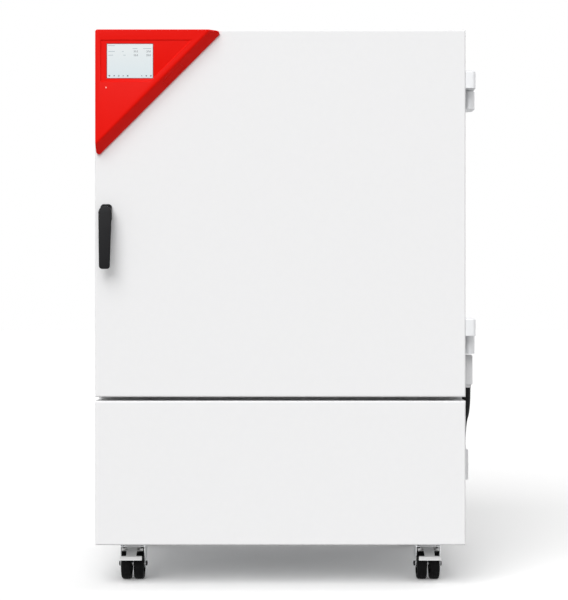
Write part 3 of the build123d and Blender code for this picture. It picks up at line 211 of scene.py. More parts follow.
ZINC = Finish("bright_zinc", "zinc_steel", (0.74, 0.75, 0.76), 0.24, metallic=1.0,
              grain=Grain.MOTTLED, grain_size=6.0, relief=0.05, variation=0.3)
PEDAL_STEEL = Finish("pale_zinc", "zinc_steel", (0.80, 0.80, 0.80), 0.42, metallic=0.35,
                     grain=Grain.MOTTLED, grain_size=6.0, relief=0.05, variation=0.2)
COPPER = Finish("copper_tube", "copper", (0.72, 0.36, 0.22), 0.32, metallic=1.0,
                grain=Grain.MOTTLED, grain_size=9.0, relief=0.04, variation=0.4)
FINS = Finish("aluminium_fins", "fins", (0.76, 0.77, 0.78), 0.36, metallic=1.0,
              grain=Grain.BRUSHED_UP, grain_size=0.6, relief=0.08, variation=0.25)
FOAM = Finish("insulation_foam", "foam", (0.82, 0.73, 0.48), 0.9, grain=Grain.CELLS, grain_size=1.2,
              relief=0.5, variation=0.2)
GASKET = Finish("gasket_grey", "gasket_grey", (0.36, 0.37, 0.38), 0.62, grain=Grain.SPARK,
                grain_size=0.8, relief=0.12, variation=0.15)
SILICONE = Finish("silicone", "silicone", (0.74, 0.74, 0.72), 0.55, grain=Grain.MOTTLED, grain_size=2.0,
                  relief=0.08, variation=0.12)
GLASS = Finish("clear_glass", "clear_glass", (0.93, 0.98, 0.97), 0.02, clear=1.0)
TYRE = Finish("tyre_black", "tyre_grey", (0.006, 0.006, 0.0065), 0.6, grain=Grain.SPARK, grain_size=0.7,
              relief=0.25, variation=0.3, specular=0.08)
ENAMEL = Finish("black_enamel", "black_metal", (0.02, 0.02, 0.022), 0.3, grain=Grain.PEEL,
                grain_size=1.8, relief=0.1, variation=0.15, coat=0.4)
SCREEN_BEZEL = Finish("screen_bezel", "screen_glass", (0.05, 0.055, 0.06), 0.12, coat=0.5)
INDICATOR = Finish("indicator_light", "panel_red", (1.0, 0.50, 0.46), 0.3, glow=0.15)
INK = Finish("display_ink", "screen_glass", (0.05, 0.06, 0.08), 0.3, specular=0.1)
PALE_INK = Finish("display_pale_ink", "screen_glass", (0.36, 0.43, 0.47), 0.3, specular=0.2)


@dataclass(frozen=True)
class DisplayFinish(Finish):
    """The lit display: a pale ground that turns slightly bluer from high to low, both in metres."""

    foot_color: tuple[float, float, float] = (0.69, 0.77, 0.80)
    low: float = 1.268
    high: float = 1.354

    def build(self) -> bpy.types.Material:
        """Make the material with a ramp over the height of the display.

        Returns:
            The material.
        """
        material = super().build()
        tree = material.node_tree
        shader = tree.nodes["Principled BSDF"]
        if shader.inputs["Emission Color"].is_linked:
            return material
        place = tree.nodes.new("ShaderNodeTexCoord")
        split = tree.nodes.new("ShaderNodeSeparateXYZ")
        share = tree.nodes.new("ShaderNodeMapRange")
        share.inputs["From Min"].default_value = self.low
        share.inputs["From Max"].default_value = self.high
        ground = tree.nodes.new("ShaderNodeMix")
        ground.data_type = "RGBA"
        ground.inputs["A"].default_value = (*self.foot_color, 1.0)
        ground.inputs["B"].default_value = (*self.color, 1.0)
        link = tree.links.new
        link(place.outputs["Object"], split.inputs["Vector"])
        link(split.outputs["Z"], share.inputs["Value"])
        link(share.outputs["Result"], ground.inputs["Factor"])
        link(ground.outputs["Result"], shader.inputs["Base Color"])
        link(ground.outputs["Result"], shader.inputs["Emission Color"])
        return material


DISPLAY = DisplayFinish("lit_display", "screen_glass", (0.78, 0.815, 0.82), 0.25, glow=0.04,
                        specular=0.2)


@dataclass(frozen=True)
class DesignFrame:
    """Turns the drawing's millimetres into the frame's metres."""

    middle_x: float
    front_y: float

    @classmethod
    def from_door(cls) -> DesignFrame:
        """Read the frame's place from the outer door's box."""
        low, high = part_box("door_outer_skin")
        return cls((low.x + high.x) / 2, low.y)

    def place(self, points: np.ndarray) -> np.ndarray:
        """Scale and move points.

        Args:
            points: an array of points in millimetres, with three values in its last axis.

        Returns:
            The points in metres, in the frame.
        """
        return np.asarray(points, float) * MM + np.array([self.middle_x, self.front_y, 0.0])


class Axis(Enum):
    """The direction that a turned form stands along, as the order of its coordinates."""

    X = (0, 1, 2)
    Y = (1, 2, 0)
    Z = (2, 0, 1)


def turned(profile: np.ndarray, centre: tuple[float, float, float], axis: Axis, segments: int,
           hand: int = 1) -> np.ndarray:
    """A surface of revolution: each profile point (a, r) runs round the axis at height a, radius r.

    Args:
        profile: rows of (distance along the axis, radius).
        centre: a point on the axis, where the distance is zero.
        axis: the axis of the form.
        segments: points round the axis.
        hand: 1 or -1, the way along the axis that distances count.

    Returns:
        A grid of points, segments by profile by three.
    """
    angle = np.linspace(0, 2 * pi, segments, endpoint=False)[:, None]
    along, first, second = axis.value
    grid = np.empty((segments, len(profile), 3))
    grid[..., along] = centre[along] + hand * profile[None, :, 0]
    grid[..., first] = centre[first] + profile[None, :, 1] * np.cos(angle)
    grid[..., second] = centre[second] + profile[None, :, 1] * np.sin(angle)
    return grid


def grid_faces(rows: int, columns: int, round_rows: bool, round_columns: bool) -> np.ndarray:
    """The quads of a grid, joined round where an axis of the grid is closed.

    Args:
        rows: points along the first axis.
        columns: points along the second axis.
        round_rows: whether the last row joins the first.
        round_columns: whether the last column joins the first.

    Returns:
        Four point numbers for each face.
    """
    row = np.arange(rows if round_rows else rows - 1)[:, None]
    column = np.arange(columns if round_columns else columns - 1)[None, :]
    after_row, after_column = (row + 1) % rows, (column + 1) % columns
    corners = [row * columns + column, after_row * columns + column,
               after_row * columns + after_column, row * columns + after_column]
    return np.stack(np.broadcast_arrays(*corners), axis=-1).reshape(-1, 4)


def add_object(name: str, data: bpy.types.ID) -> bpy.types.Object:
    """Put a new object with a mesh, curve, camera or light into the scene.

    Args:
        name: its name.
        data: what it holds.

    Returns:
        The object.
    """
    added = bpy.data.objects.new(name, data)
    bpy.context.scene.collection.objects.link(added)
    return added


def mesh_of(curve: bpy.types.Curve) -> bpy.types.Mesh:
    """Turn a curve or a text into a mesh.

    Args:
        curve: the curve or text.

    Returns:
        The mesh.
    """
    holder = add_object(curve.name, curve)
    mesh = bpy.data.meshes.new_from_object(holder)
    bpy.data.objects.remove(holder)
    return mesh


def read_points(mesh: bpy.types.Mesh) -> np.ndarray:
    """Read the places of a mesh's points.

    Args:
        mesh: the mesh.

    Returns:
        The points in metres, one row each.
    """
    points = np.empty(len(mesh.vertices) * 3)
    mesh.vertices.foreach_get("co", points)
    return points.reshape(-1, 3)


def write_points(mesh: bpy.types.Mesh, points: np.ndarray) -> None:
    """Move a mesh's points to these places, in metres."""
    mesh.vertices.foreach_set("co", points.ravel())
    mesh.update()


class Piece:
    """A new piece, collected from surfaces and built as one mesh."""

    def __init__(self, name: str, frame: DesignFrame) -> None:
        """Start an empty piece.

        Args:
            name: its name.
            frame: the drawing's place in the frame.
        """
        self.name = name
        self.frame = frame
        self.points: list[np.ndarray] = []
        self.faces: list[np.ndarray] = []
        self.count = 0

    def add(self, grid: np.ndarray, round_rows: bool = False, round_columns: bool = False) -> Piece:
        """Add one surface given as a grid of points.

        Args:
            grid: rows by columns by three, in millimetres.
            round_rows: whether the last row joins the first.
            round_columns: whether the last column joins the first.

        Returns:
            The piece itself.
        """
        rows, columns = grid.shape[:2]
        self.points.append(grid.reshape(-1, 3))
        self.faces.append(grid_faces(rows, columns, round_rows, round_columns) + self.count)
        self.count += rows * columns
        return self

    def add_cells(self, points: np.ndarray, faces: np.ndarray) -> Piece:
        """Add closed cells that all have the same corners and faces.

        Args:
            points: cells by corners by three, in millimetres.
            faces: the faces of one cell, by the numbers of its corners.

        Returns:
            The piece itself.
        """
        cells, corners = points.shape[:2]
        starts = np.arange(cells)[:, None, None] * corners
        self.points.append(points.reshape(-1, 3))
        self.faces.append((faces[None] + starts).reshape(-1, 4) + self.count)
        self.count += cells * corners
        return self

    def add_blocks(self, low: np.ndarray, high: np.ndarray) -> Piece:
        """Add one closed block for each pair of corners.

        Args:
            low: the lowest corners, one row each.
            high: the highest corners, one row each.

        Returns:
            The piece itself.
        """
        corner = np.array([[0, 0, 0], [1, 0, 0], [1, 1, 0], [0, 1, 0],
                           [0, 0, 1], [1, 0, 1], [1, 1, 1], [0, 1, 1]])
        sides = np.array([[0, 3, 2, 1], [4, 5, 6, 7], [0, 1, 5, 4],
                          [1, 2, 6, 5], [2, 3, 7, 6], [3, 0, 4, 7]])
        low, high = np.atleast_2d(low).astype(float), np.atleast_2d(high).astype(float)
        return self.add_cells(low[:, None, :] + corner[None] * (high - low)[:, None, :], sides)

    def build(self, finish: Finish, body: str, sharp: float = 35.0, bevel: float = 0.0,
              wall: float = 0.0) -> bpy.types.Object:
        """Make the object, close its seams and poles, and let it ride on a body.

        Args:
            finish: the finish that it takes.
            body: the body that it rides on.
            sharp: the angle in degrees past which an edge stays sharp.
            bevel: the width in millimetres of the bevel along sharp edges.
            wall: the thickness in millimetres given to an open sheet.

        Returns:
            The object.
        """
        mesh = bpy.data.meshes.new(self.name)
        points = self.frame.place(np.concatenate(self.points))
        mesh.from_pydata(points.tolist(), [], np.concatenate(self.faces).tolist())
        close_seams(mesh)
        shade(mesh, sharp)
        piece = add_object(self.name, mesh)
        if wall:
            thicken = piece.modifiers.new("wall", "SOLIDIFY")
            thicken.thickness = wall * MM
        if bevel:
            add_bevel(piece, bevel)
        dress(piece, finish)
        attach(piece, body)
        LOG.info("piece %s: %d faces on %s", self.name, len(mesh.polygons), body)
        return piece


def close_seams(mesh: bpy.types.Mesh) -> None:
    """Merge double points, drop faces without area and turn all faces outwards.

    Args:
        mesh: the mesh, which is changed in place.
    """
    shell = bmesh.new()
    shell.from_mesh(mesh)
    bmesh.ops.remove_doubles(shell, verts=shell.verts, dist=SEAM_MERGE * MM)
    bmesh.ops.dissolve_degenerate(shell, edges=shell.edges, dist=SLIVER * MM)
    bmesh.ops.recalc_face_normals(shell, faces=shell.faces)
    shell.to_mesh(mesh)
    shell.free()


def shade(mesh: bpy.types.Mesh, sharp: float) -> None:
    """Shade a mesh smooth, with edges past an angle in degrees kept sharp."""
    mesh.polygons.foreach_set("use_smooth", np.ones(len(mesh.polygons), bool))
    mesh.set_sharp_from_angle(angle=radians(sharp))


def add_bevel(piece: bpy.types.Object, width: float) -> None:
    """Round a piece's sharp edges with a live bevel.

    Args:
        piece: the piece.
        width: the bevel's width in millimetres.
    """
    bevel = piece.modifiers.new("bevel", "BEVEL")
    bevel.width = width * MM
    bevel.segments = BEVEL_SEGMENTS
    bevel.limit_method = "ANGLE"
    bevel.angle_limit = radians(BEVEL_ANGLE)
    bevel.harden_normals = True


def dress(piece: bpy.types.Object, finish: Finish) -> None:
    """Give an object one finish."""
    piece.data.materials.clear()
    piece.data.materials.append(finish.build())


@dataclass(frozen=True)
class Lift:
    """Moves what stands in front of a depth up or down, for forms that the solids place a little off.

    The move grows from none at the depth start to all of the rise at the depth full.
    """

    start: float
    full: float
    rise: float

    def apply(self, mesh: bpy.types.Mesh, frame: DesignFrame) -> None:
        """Each point's height grows by rise * clip((start - y) / (start - full), 0, 1).

        Args:
            mesh: the copied mesh.
            frame: the drawing's place in the frame.
        """
        points = read_points(mesh)
        depth = (points[:, 1] - frame.front_y) / MM
        share = np.clip((self.start - depth) / (self.start - self.full), 0, 1)
        points[:, 2] += self.rise * MM * share
        write_points(mesh, points)


PEDAL_LIFT = Lift(start=96.0, full=72.0, rise=10.1)
TONGUE_DROP = Lift(start=-20.5, full=-24.0, rise=-2.4)


def soften(node: str, width: float, finish: Finish, body: str, lift: Lift | None = None,
           frame: DesignFrame | None = None) -> bpy.types.Object:
    """A merged copy of a CAD node whose sharp edges catch the light, shown in its place.

    Args:
        node: the CAD node.
        width: the width of its edge bevels, in millimetres.
        finish: the finish that it takes.
        body: the body that it rides on.
        lift: how a part of it is raised or lowered, if at all.
        frame: the drawing's place, needed with a lift.

    Returns:
        The new object.
    """
    mesh = bpy.data.objects[node].data.copy()
    shell = bmesh.new()
    shell.from_mesh(mesh)
    bmesh.ops.remove_doubles(shell, verts=shell.verts, dist=COPY_MERGE * MM)
    bmesh.ops.dissolve_limit(shell, angle_limit=radians(FLAT_ANGLE), verts=shell.verts,
                             edges=shell.edges)
    shell.to_mesh(mesh)
    shell.free()
    if lift and frame:
        lift.apply(mesh, frame)
    shade(mesh, COPY_SHARP_ANGLE)
    piece = add_object(node + "_soft", mesh)
    add_bevel(piece, width)
    dress(piece, finish)
    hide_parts(node)
    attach(piece, body)
    LOG.info("piece %s stands for %s", piece.name, node)
    return piece


class Side(Enum):
    """A face of the cabinet that fasteners stand on, with its axis and outward sense."""

    RIGHT = (Axis.X, 1)
    REAR = (Axis.Y, 1)
    FRONT = (Axis.Y, -1)
    UNDER = (Axis.Z, -1)


class Head(Enum):
    """The kind of a fastener's head, with its points round the axis."""

    PAN = 20
    SIX_SIDED = 6


@dataclass(frozen=True)
class ScrewHeads:
    """A set of pan heads, or of six sided bolt heads, on one face."""

    name: str
    side: Side
    radius: float
    height: float
    places: tuple[tuple[float, float, float], ...]
    body: str = "cabinet"
    head: Head = Head.PAN

    def _profile(self) -> np.ndarray:
        """The head's outline, from shares of its height and radius.

        Returns:
            A low dome with a round socket in its middle, or a block with its top edge sloped off.
        """
        share = {
            Head.PAN: [[0, 0], [0, 1], [0.55, 0.98], [0.9, 0.72], [1, 0.5], [0.95, 0.42],
                       [0.4, 0.38], [0.4, 0]],
            Head.SIX_SIDED: [[0, 0], [0, 1], [0.85, 1], [1, 0.86], [1, 0]],
        }[self.head]
        return np.array(share) * (self.height, self.radius)

    def build(self, frame: DesignFrame, finish: Finish) -> None:
        """Turn the profile about each place, along the face's outward direction.

        Args:
            frame: the drawing's place in the frame.
            finish: the finish of the heads.
        """
        profile = self._profile()
        axis, hand = self.side.value
        piece = Piece(self.name, frame)
        for place in self.places:
            piece.add(turned(profile, place, axis, self.head.value, hand), round_rows=True)
        piece.build(finish, self.body, sharp=28.0)


def lattice(across: tuple[float, ...], depths: tuple[float, ...],
            heights: tuple[float, ...]) -> tuple[tuple[float, float, float], ...]:
    """Every place that has one of these coordinates along each axis."""
    return tuple((x, y, z) for x in across for y in depths for z in heights)


@dataclass(frozen=True)
class Conduit:
    """The corrugated conduit from the cable cover down to the switch box, with its two collars."""

    frame: DesignFrame
    route: tuple[tuple[float, float, float], ...] = (
        (475.5, 100.0, 503.0), (475.5, 100.0, 441.0), (475.5, 205.0, 392.0), (475.5, 205.0, 330.0))
    spline_order: int = 3
    spline_steps: int = 40
    radius: float = 12.0
    rib_depth: float = 1.1
    rib_pitch: float = 4.6
    rings_per_rib: int = 8
    sides: int = 28
    collar_radius: float = 12.9
    collar_length: float = 7.5
    collar_slope: tuple[float, float] = (2.0, 0.6)
    real_length: float = 227.6

    def _centreline(self) -> np.ndarray:
        """Points along the route's smooth line.

        Returns:
            The points that Blender's own NURBS spline gives, in metres.
        """
        curve = bpy.data.curves.new("conduit_route", "CURVE")
        curve.dimensions = "3D"
        curve.resolution_u = self.spline_steps
        spline = curve.splines.new("NURBS")
        spline.points.add(len(self.route) - 1)
        placed = self.frame.place(np.array(self.route))
        weights = np.concatenate([placed, np.ones((len(placed), 1))], axis=1)
        spline.points.foreach_set("co", weights.ravel())
        spline.order_u = self.spline_order
        spline.use_endpoint_u = True
        return read_points(mesh_of(curve))

    def _tube(self, line: np.ndarray) -> Piece:
        """Carry a circle along the line; its radius dips in a squared cosine once for each rib.

        Args:
            line: points along the middle of the conduit, in metres.

        Returns:
            The piece, closed by a disc at each end.
        """
        steps = np.linalg.norm(np.diff(line, axis=0), axis=1)
        travel = np.concatenate([[0.0], np.cumsum(steps)])
        rings = int(travel[-1] / (self.rib_pitch * MM) * self.rings_per_rib)
        places = np.linspace(0, travel[-1], rings)
        centre = np.stack([np.interp(places, travel, line[:, k]) for k in range(3)], axis=1)
        tangent = np.gradient(centre, axis=0)
        tangent /= np.linalg.norm(tangent, axis=1)[:, None]
        across = np.tile([1.0, 0.0, 0.0], (len(centre), 1))
        inward = np.cross(tangent, across)
        phase = 2 * pi * places / (self.rib_pitch * MM)
        reach = (self.radius - self.rib_depth * (0.5 - 0.5 * np.cos(phase)) ** 2) * MM
        angle = np.linspace(0, 2 * pi, self.sides, endpoint=False)
        ring = (across[:, None, :] * np.cos(angle)[None, :, None]
                + inward[:, None, :] * np.sin(angle)[None, :, None])
        grid = centre[:, None, :] + ring * reach[:, None, None]
        offset = self.frame.place(np.zeros(3))
        tube = Piece("conduit", self.frame)
        tube.add((grid - offset) / MM, round_columns=True)
        for end in (0, -1):
            middle = np.broadcast_to(centre[end], grid[end].shape)
            tube.add((np.stack([middle, grid[end]]) - offset) / MM, round_columns=True)
        return tube

    def _collars(self) -> Piece:
        """A short turned collar at each end of the route, its outer edge sloped off.

        Returns:
            The piece.
        """
        run, fall = self.collar_slope
        collar = np.array([[0, 0], [0, self.collar_radius],
                           [self.collar_length - run, self.collar_radius],
                           [self.collar_length, self.collar_radius - fall],
                           [self.collar_length, 0]])
        collars = Piece("conduit_collars", self.frame)
        for end, hand in ((self.route[0], -1), (self.route[-1], 1)):
            collars.add(turned(collar, end, Axis.Z, self.sides, hand), round_rows=True)
        return collars

    def build(self) -> None:
        """Build the tube in the place of its CAD node and add the collars."""
        line = self._centreline()
        conduit = self._tube(line).build(CONDUIT_BLACK, "cabinet", sharp=50.0)
        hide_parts("door_cable")
        exit_point = self.frame.place(np.array(self.route[0]))
        self._collars().build(LIGHT_GREY, "cabinet", sharp=30.0)


@dataclass(frozen=True)
class Reading:
    """One number on the display, at the place of its left foot."""

    text: str
    left: float
    drop: float


@dataclass(frozen=True)
class Display:
    """The lit display in the housing's dish: ground, numbers, small marks and an indicator.

    Places on it count rightwards and downwards from its top left corner. A label is given by its
    place and length, a mark by its place, its corners and how hollow it is.
    """

    frame: DesignFrame
    left: float = -429.6
    top: float = 1353.5
    width: float = 115.0
    height: float = 86.0
    margin: float = 1.0
    glass_y: float = -29.4
    ground_depth: float = 0.1
    body: str = "outer_door"
    labels: tuple[tuple[float, float, float], ...] = (
        (3, 4.5, 17), (64, 11.5, 12), (90, 11.5, 20), (4, 18.7, 16), (38, 18.7, 4),
        (4, 28.0, 12), (41, 28.0, 6))
    label_height: float = 1.1
    label_depths: tuple[float, float] = (0.08, 0.18)
    readings: tuple[Reading, ...] = (Reading("37.0", 66.4, 21.5), Reading("25.0", 66.4, 30.8),
                                     Reading("37.0", 98.0, 21.5), Reading("25.0", 98.0, 30.8))
    digit_size: float = 6.4
    digit_thickness: float = 0.03
    digit_depth: float = 0.16
    marks: tuple[tuple[float, int, float], ...] = (
        (6.6, 24, 0.4), (18.4, 4, 0.3), (29.6, 24, 0.55), (40.8, 3, 0.0), (52.0, 6, 0.0),
        (86.8, 3, 0.4), (98.0, 4, 0.0), (109.2, 24, 0.35))
    mark_drop: float = 79.6
    mark_radius: float = 1.9
    mark_thickness: float = 0.07
    indicator: tuple[float, float, float] = (-430.8, -32.0, 1244.5)
    bead: tuple[tuple[float, float], ...] = ((0, 0), (0, 1.7), (0.35, 1.6), (0.6, 1.0), (0.65, 0))
    bead_sides: int = 24

    def _ground(self) -> None:
        """The lit ground, a thin upright plate just in front of the glass."""
        low = (self.left + self.margin, self.glass_y - self.ground_depth,
               self.top - (self.height - self.margin))
        high = (self.left + (self.width - self.margin), self.glass_y, self.top - self.margin)
        ground = Piece("display_ground", self.frame)
        ground.add_blocks(np.array(low), np.array(high)).build(DISPLAY, self.body)

    def _labels(self) -> None:
        """The small words as plain bars."""
        bars = np.array(self.labels)
        near, far = self.label_depths
        low = np.stack([self.left + bars[:, 0], np.full(len(bars), self.glass_y - far),
                        self.top - bars[:, 1] - self.label_height], axis=1)
        high = np.stack([self.left + bars[:, 0] + bars[:, 2], np.full(len(bars), self.glass_y - near),
                         self.top - bars[:, 1]], axis=1)
        Piece("display_labels", self.frame).add_blocks(low, high).build(PALE_INK, self.body)

    def _number(self, index: int, reading: Reading) -> None:
        """A number as a flat mesh, stood upright and put in place by moving its points.

        Args:
            index: its number among the readings.
            reading: what it says, and where.
        """
        text = bpy.data.curves.new(f"digits_{index}", "FONT")
        text.body = reading.text
        text.size = self.digit_size * MM
        text.extrude = self.digit_thickness * MM
        mesh = mesh_of(text)
        points = read_points(mesh)
        foot = self.frame.place(np.array([self.left + reading.left, self.glass_y - self.digit_depth,
                                          self.top - reading.drop]))
        write_points(mesh, np.stack([points[:, 0], -points[:, 2], points[:, 1]], axis=1) + foot)
        digits = add_object(f"reading_{index}", mesh)
        dress(digits, INK)
        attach(digits, self.body)
        LOG.info("piece %s", digits.name)

    def _marks(self) -> None:
        """The row of small signs at the foot, each a turned ring or disc with few or many corners."""
        marks = Piece("display_marks", self.frame)
        for across, corners, hollow in self.marks:
            inner = self.mark_radius * hollow
            profile = np.array([[0.0, inner], [0.0, self.mark_radius],
                                [self.mark_thickness, self.mark_radius], [self.mark_thickness, inner]])
            centre = (self.left + across, self.glass_y - self.ground_depth, self.top - self.mark_drop)
            marks.add(turned(profile, centre, Axis.Y, corners, -1), True, True)
        marks.build(INK, self.body)

    def _indicator(self) -> None:
        """The indicator below the display, a low turned bead."""
        light = Piece("indicator", self.frame)
        bead = turned(np.array(self.bead), self.indicator, Axis.Y, self.bead_sides, -1)
        light.add(bead, round_rows=True)
        light.build(INDICATOR, self.body)

    def build(self) -> None:
        """Make the ground, label bars, numbers, marks and the indicator."""
        self._ground()
        self._labels()
        for index, reading in enumerate(self.readings):
            self._number(index, reading)
        self._marks()
        self._indicator()


@dataclass(frozen=True)
class Casters:
    """Wheels with ribbed hubs and a rounded tread, axle nuts and softened forks and pedals.

    Groove places and widths are shares of half the wheel's width. The web is given at its inner and
    its outer radius, and the nut by rows of (distance along the axle, radius).
    """

    frame: DesignFrame
    places: tuple[tuple[str, float, float], ...] = (
        ("front_left", -379.5, 165.0), ("front_right", 379.5, 165.0),
        ("rear_left", -379.5, 717.0), ("rear_right", 379.5, 717.0))
    braked: tuple[str, ...] = ("front_left", "front_right")
    trail: float = 35.0
    axle_height: float = 40.0
    wheel_offset: float = 16.15
    half: float = 12.25
    bore: float = 5.05
    hub_radius: float = 12.4
    web_half: tuple[float, float] = (3.2, 3.0)
    web_radii: tuple[float, float] = (15.0, 27.0)
    rim_radius: float = 29.4
    edge: float = 0.8
    tread: float = 40.0
    tread_steps: int = 25
    wheel_sides: int = 64
    crown: float = 3.2
    groove_depth: float = 0.7
    groove_place: float = 0.42
    groove_width: float = 0.05
    ribs: int = 8
    rib_reach: float = 10.6
    rib_radii: tuple[float, float] = (12.6, 29.0)
    rib_half_thickness: float = 0.9
    nut: tuple[tuple[float, float], ...] = (
        (0, 0), (0, 7.0), (3.4, 7.0), (4.2, 6.0), (4.2, 3.0), (5.0, 2.6), (5.0, 0))
    nut_offset: float = 32.0
    bolt_spacing: tuple[float, float] = (36, 28)
    bolt_z: float = 103.0
    bolt_radius: float = 5.5
    bolt_height: float = 3.6

    def _profile(self) -> np.ndarray:
        """The wheel's closed section: hub, web, rim and tread.

        The tread's radius falls from its middle by crown * |a|^6, where a is the share of the half
        width, and by a bell-shaped groove on each side.

        Returns:
            Rows of (distance along the axle, radius).
        """
        along = np.linspace(-1, 1, self.tread_steps)
        groove = self.groove_depth * np.exp(-((np.abs(along) - self.groove_place) / self.groove_width) ** 2)
        fall = self.crown * np.abs(along) ** 6
        crown = np.stack([along * self.half, self.tread - fall - groove], axis=1)
        half, edge = self.half, self.edge
        web = [[-thickness, radius] for thickness, radius in zip(self.web_half, self.web_radii)]
        side = np.array([[-half, self.bore], [-half, self.hub_radius],
                         [-half + edge, self.hub_radius + edge], *web,
                         [-half + edge, self.rim_radius - edge], [-half, self.rim_radius]])
        return np.concatenate([side, crown, side[::-1] * (-1, 1)])

    def _hub_ribs(self, centre: tuple[float, float, float]) -> tuple[np.ndarray, np.ndarray]:
        """Thin radial ribs through the web: the corners of one rib, turned about the axle.

        Args:
            centre: the wheel's middle.

        Returns:
            The eight corners of each rib, and the faces of one rib.
        """
        angle = np.linspace(0, 2 * pi, self.ribs, endpoint=False)[:, None]
        reach, thickness = self.rib_reach, self.rib_half_thickness
        corner = np.array([[a, r, t] for a in (-reach, reach) for r in self.rib_radii
                           for t in (-thickness, thickness)])
        out = corner[None, :, 1] * np.cos(angle) - corner[None, :, 2] * np.sin(angle)
        up = corner[None, :, 1] * np.sin(angle) + corner[None, :, 2] * np.cos(angle)
        grid = np.stack([np.broadcast_to(corner[None, :, 0], out.shape), out, up], axis=-1)
        faces = np.array([[0, 1, 3, 2], [4, 6, 7, 5], [0, 4, 5, 1], [2, 3, 7, 6], [0, 2, 6, 4],
                          [1, 5, 7, 3]])
        return grid + np.array(centre), faces

    def _wheel(self, place: str, which: str, centre: tuple[float, float, float]) -> None:
        """Build one wheel in the place of its CAD node.

        Args:
            place: its caster's place.
            which: whether it is the outer or the inner one.
            centre: its middle.
        """
        wheel = Piece(f"wheel_{place}_{which}", self.frame)
        wheel.add(turned(self._profile(), centre, Axis.X, self.wheel_sides), True, True)
        wheel.add_cells(*self._hub_ribs(centre))
        built = wheel.build(TYRE, f"wheel_{place}_{which}", sharp=32.0)
        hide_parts(f"caster_wheel_{place}_{which}")

    def _nuts(self, place: str, x: float, y: float) -> None:
        """Six sided nuts with a round end on both ends of an axle.

        Args:
            place: the caster's place.
            x: the axle's middle across the cabinet.
            y: the axle's depth.
        """
        nut, corners = np.array(self.nut), Head.SIX_SIDED.value
        nuts = Piece(f"axle_nuts_{place}", self.frame)
        for hand in (-1, 1):
            centre = (x + hand * self.nut_offset, y, self.axle_height)
            nuts.add(turned(nut, centre, Axis.X, corners, hand), round_rows=True)
        nuts.build(ENAMEL, f"fork_{place}", sharp=25.0)

    def build(self) -> None:
        """Dress all four casters."""
        across, along = self.bolt_spacing
        for place, x, y in self.places:
            outward = 1 if x > 0 else -1
            for which, hand in (("outer", outward), ("inner", -outward)):
                centre = (x + hand * self.wheel_offset, y - self.trail, self.axle_height)
                self._wheel(place, which, centre)
            soften(f"caster_fork_{place}", 0.6, ZINC, f"fork_{place}")
            self._nuts(place, x, y - self.trail)
            bolts = tuple((x + a, y + b, self.bolt_z) for a in (-across, across) for b in (-along, along))
            heads = ScrewHeads(f"plate_bolts_{place}", Side.UNDER, self.bolt_radius, self.bolt_height,
                               bolts, head=Head.SIX_SIDED)
            heads.build(self.frame, ZINC)
        for place in self.braked:
            soften(f"brake_pedal_{place}", 0.7, PEDAL_STEEL, f"pedal_{place}", PEDAL_LIFT, self.frame)
        dress(bpy.data.objects["caster_plates"], ZINC)


@dataclass(frozen=True)
class Louvres:
    """Blades pressed inwards behind the rear panel's slots."""

    frame: DesignFrame
    columns: tuple[float, ...] = (-231.25, 231.25)
    middle_z: float = 286.0
    rows: int = 9
    pitch: float = 24.0
    half_width: float = 84.0
    lip: float = 4.6
    panel_y: float = 798.4
    reach: float = 6.0
    fall: float = 9.0
    wall: float = 0.8
    grid: tuple[int, int] = (7, 9)

    def build(self) -> None:
        """One curved blade for each slot, from a share s down it and a share a across it.

        It runs inwards by reach * s * sqrt(1 - a^8) and down by fall * sin(pi s / 2).
        """
        blades = Piece("louvre_blades", self.frame)
        down, wide = self.grid
        across = np.linspace(-1, 1, wide)[None, :]
        share = np.linspace(0, 1, down)[:, None]
        round_off = np.sqrt(np.clip(1 - across ** 8, 0, 1))
        depth = self.panel_y - self.reach * share * round_off
        for column in self.columns:
            for row in range(self.rows):
                top = self.middle_z + (row - (self.rows - 1) / 2) * self.pitch + self.lip
                x = np.broadcast_to(column + across * self.half_width, self.grid)
                z = np.broadcast_to(top - self.fall * np.sin(share * pi / 2), self.grid)
                blades.add(np.stack([x, depth, z], axis=-1))
        blades.build(WHITE_COAT, "cabinet", wall=self.wall)


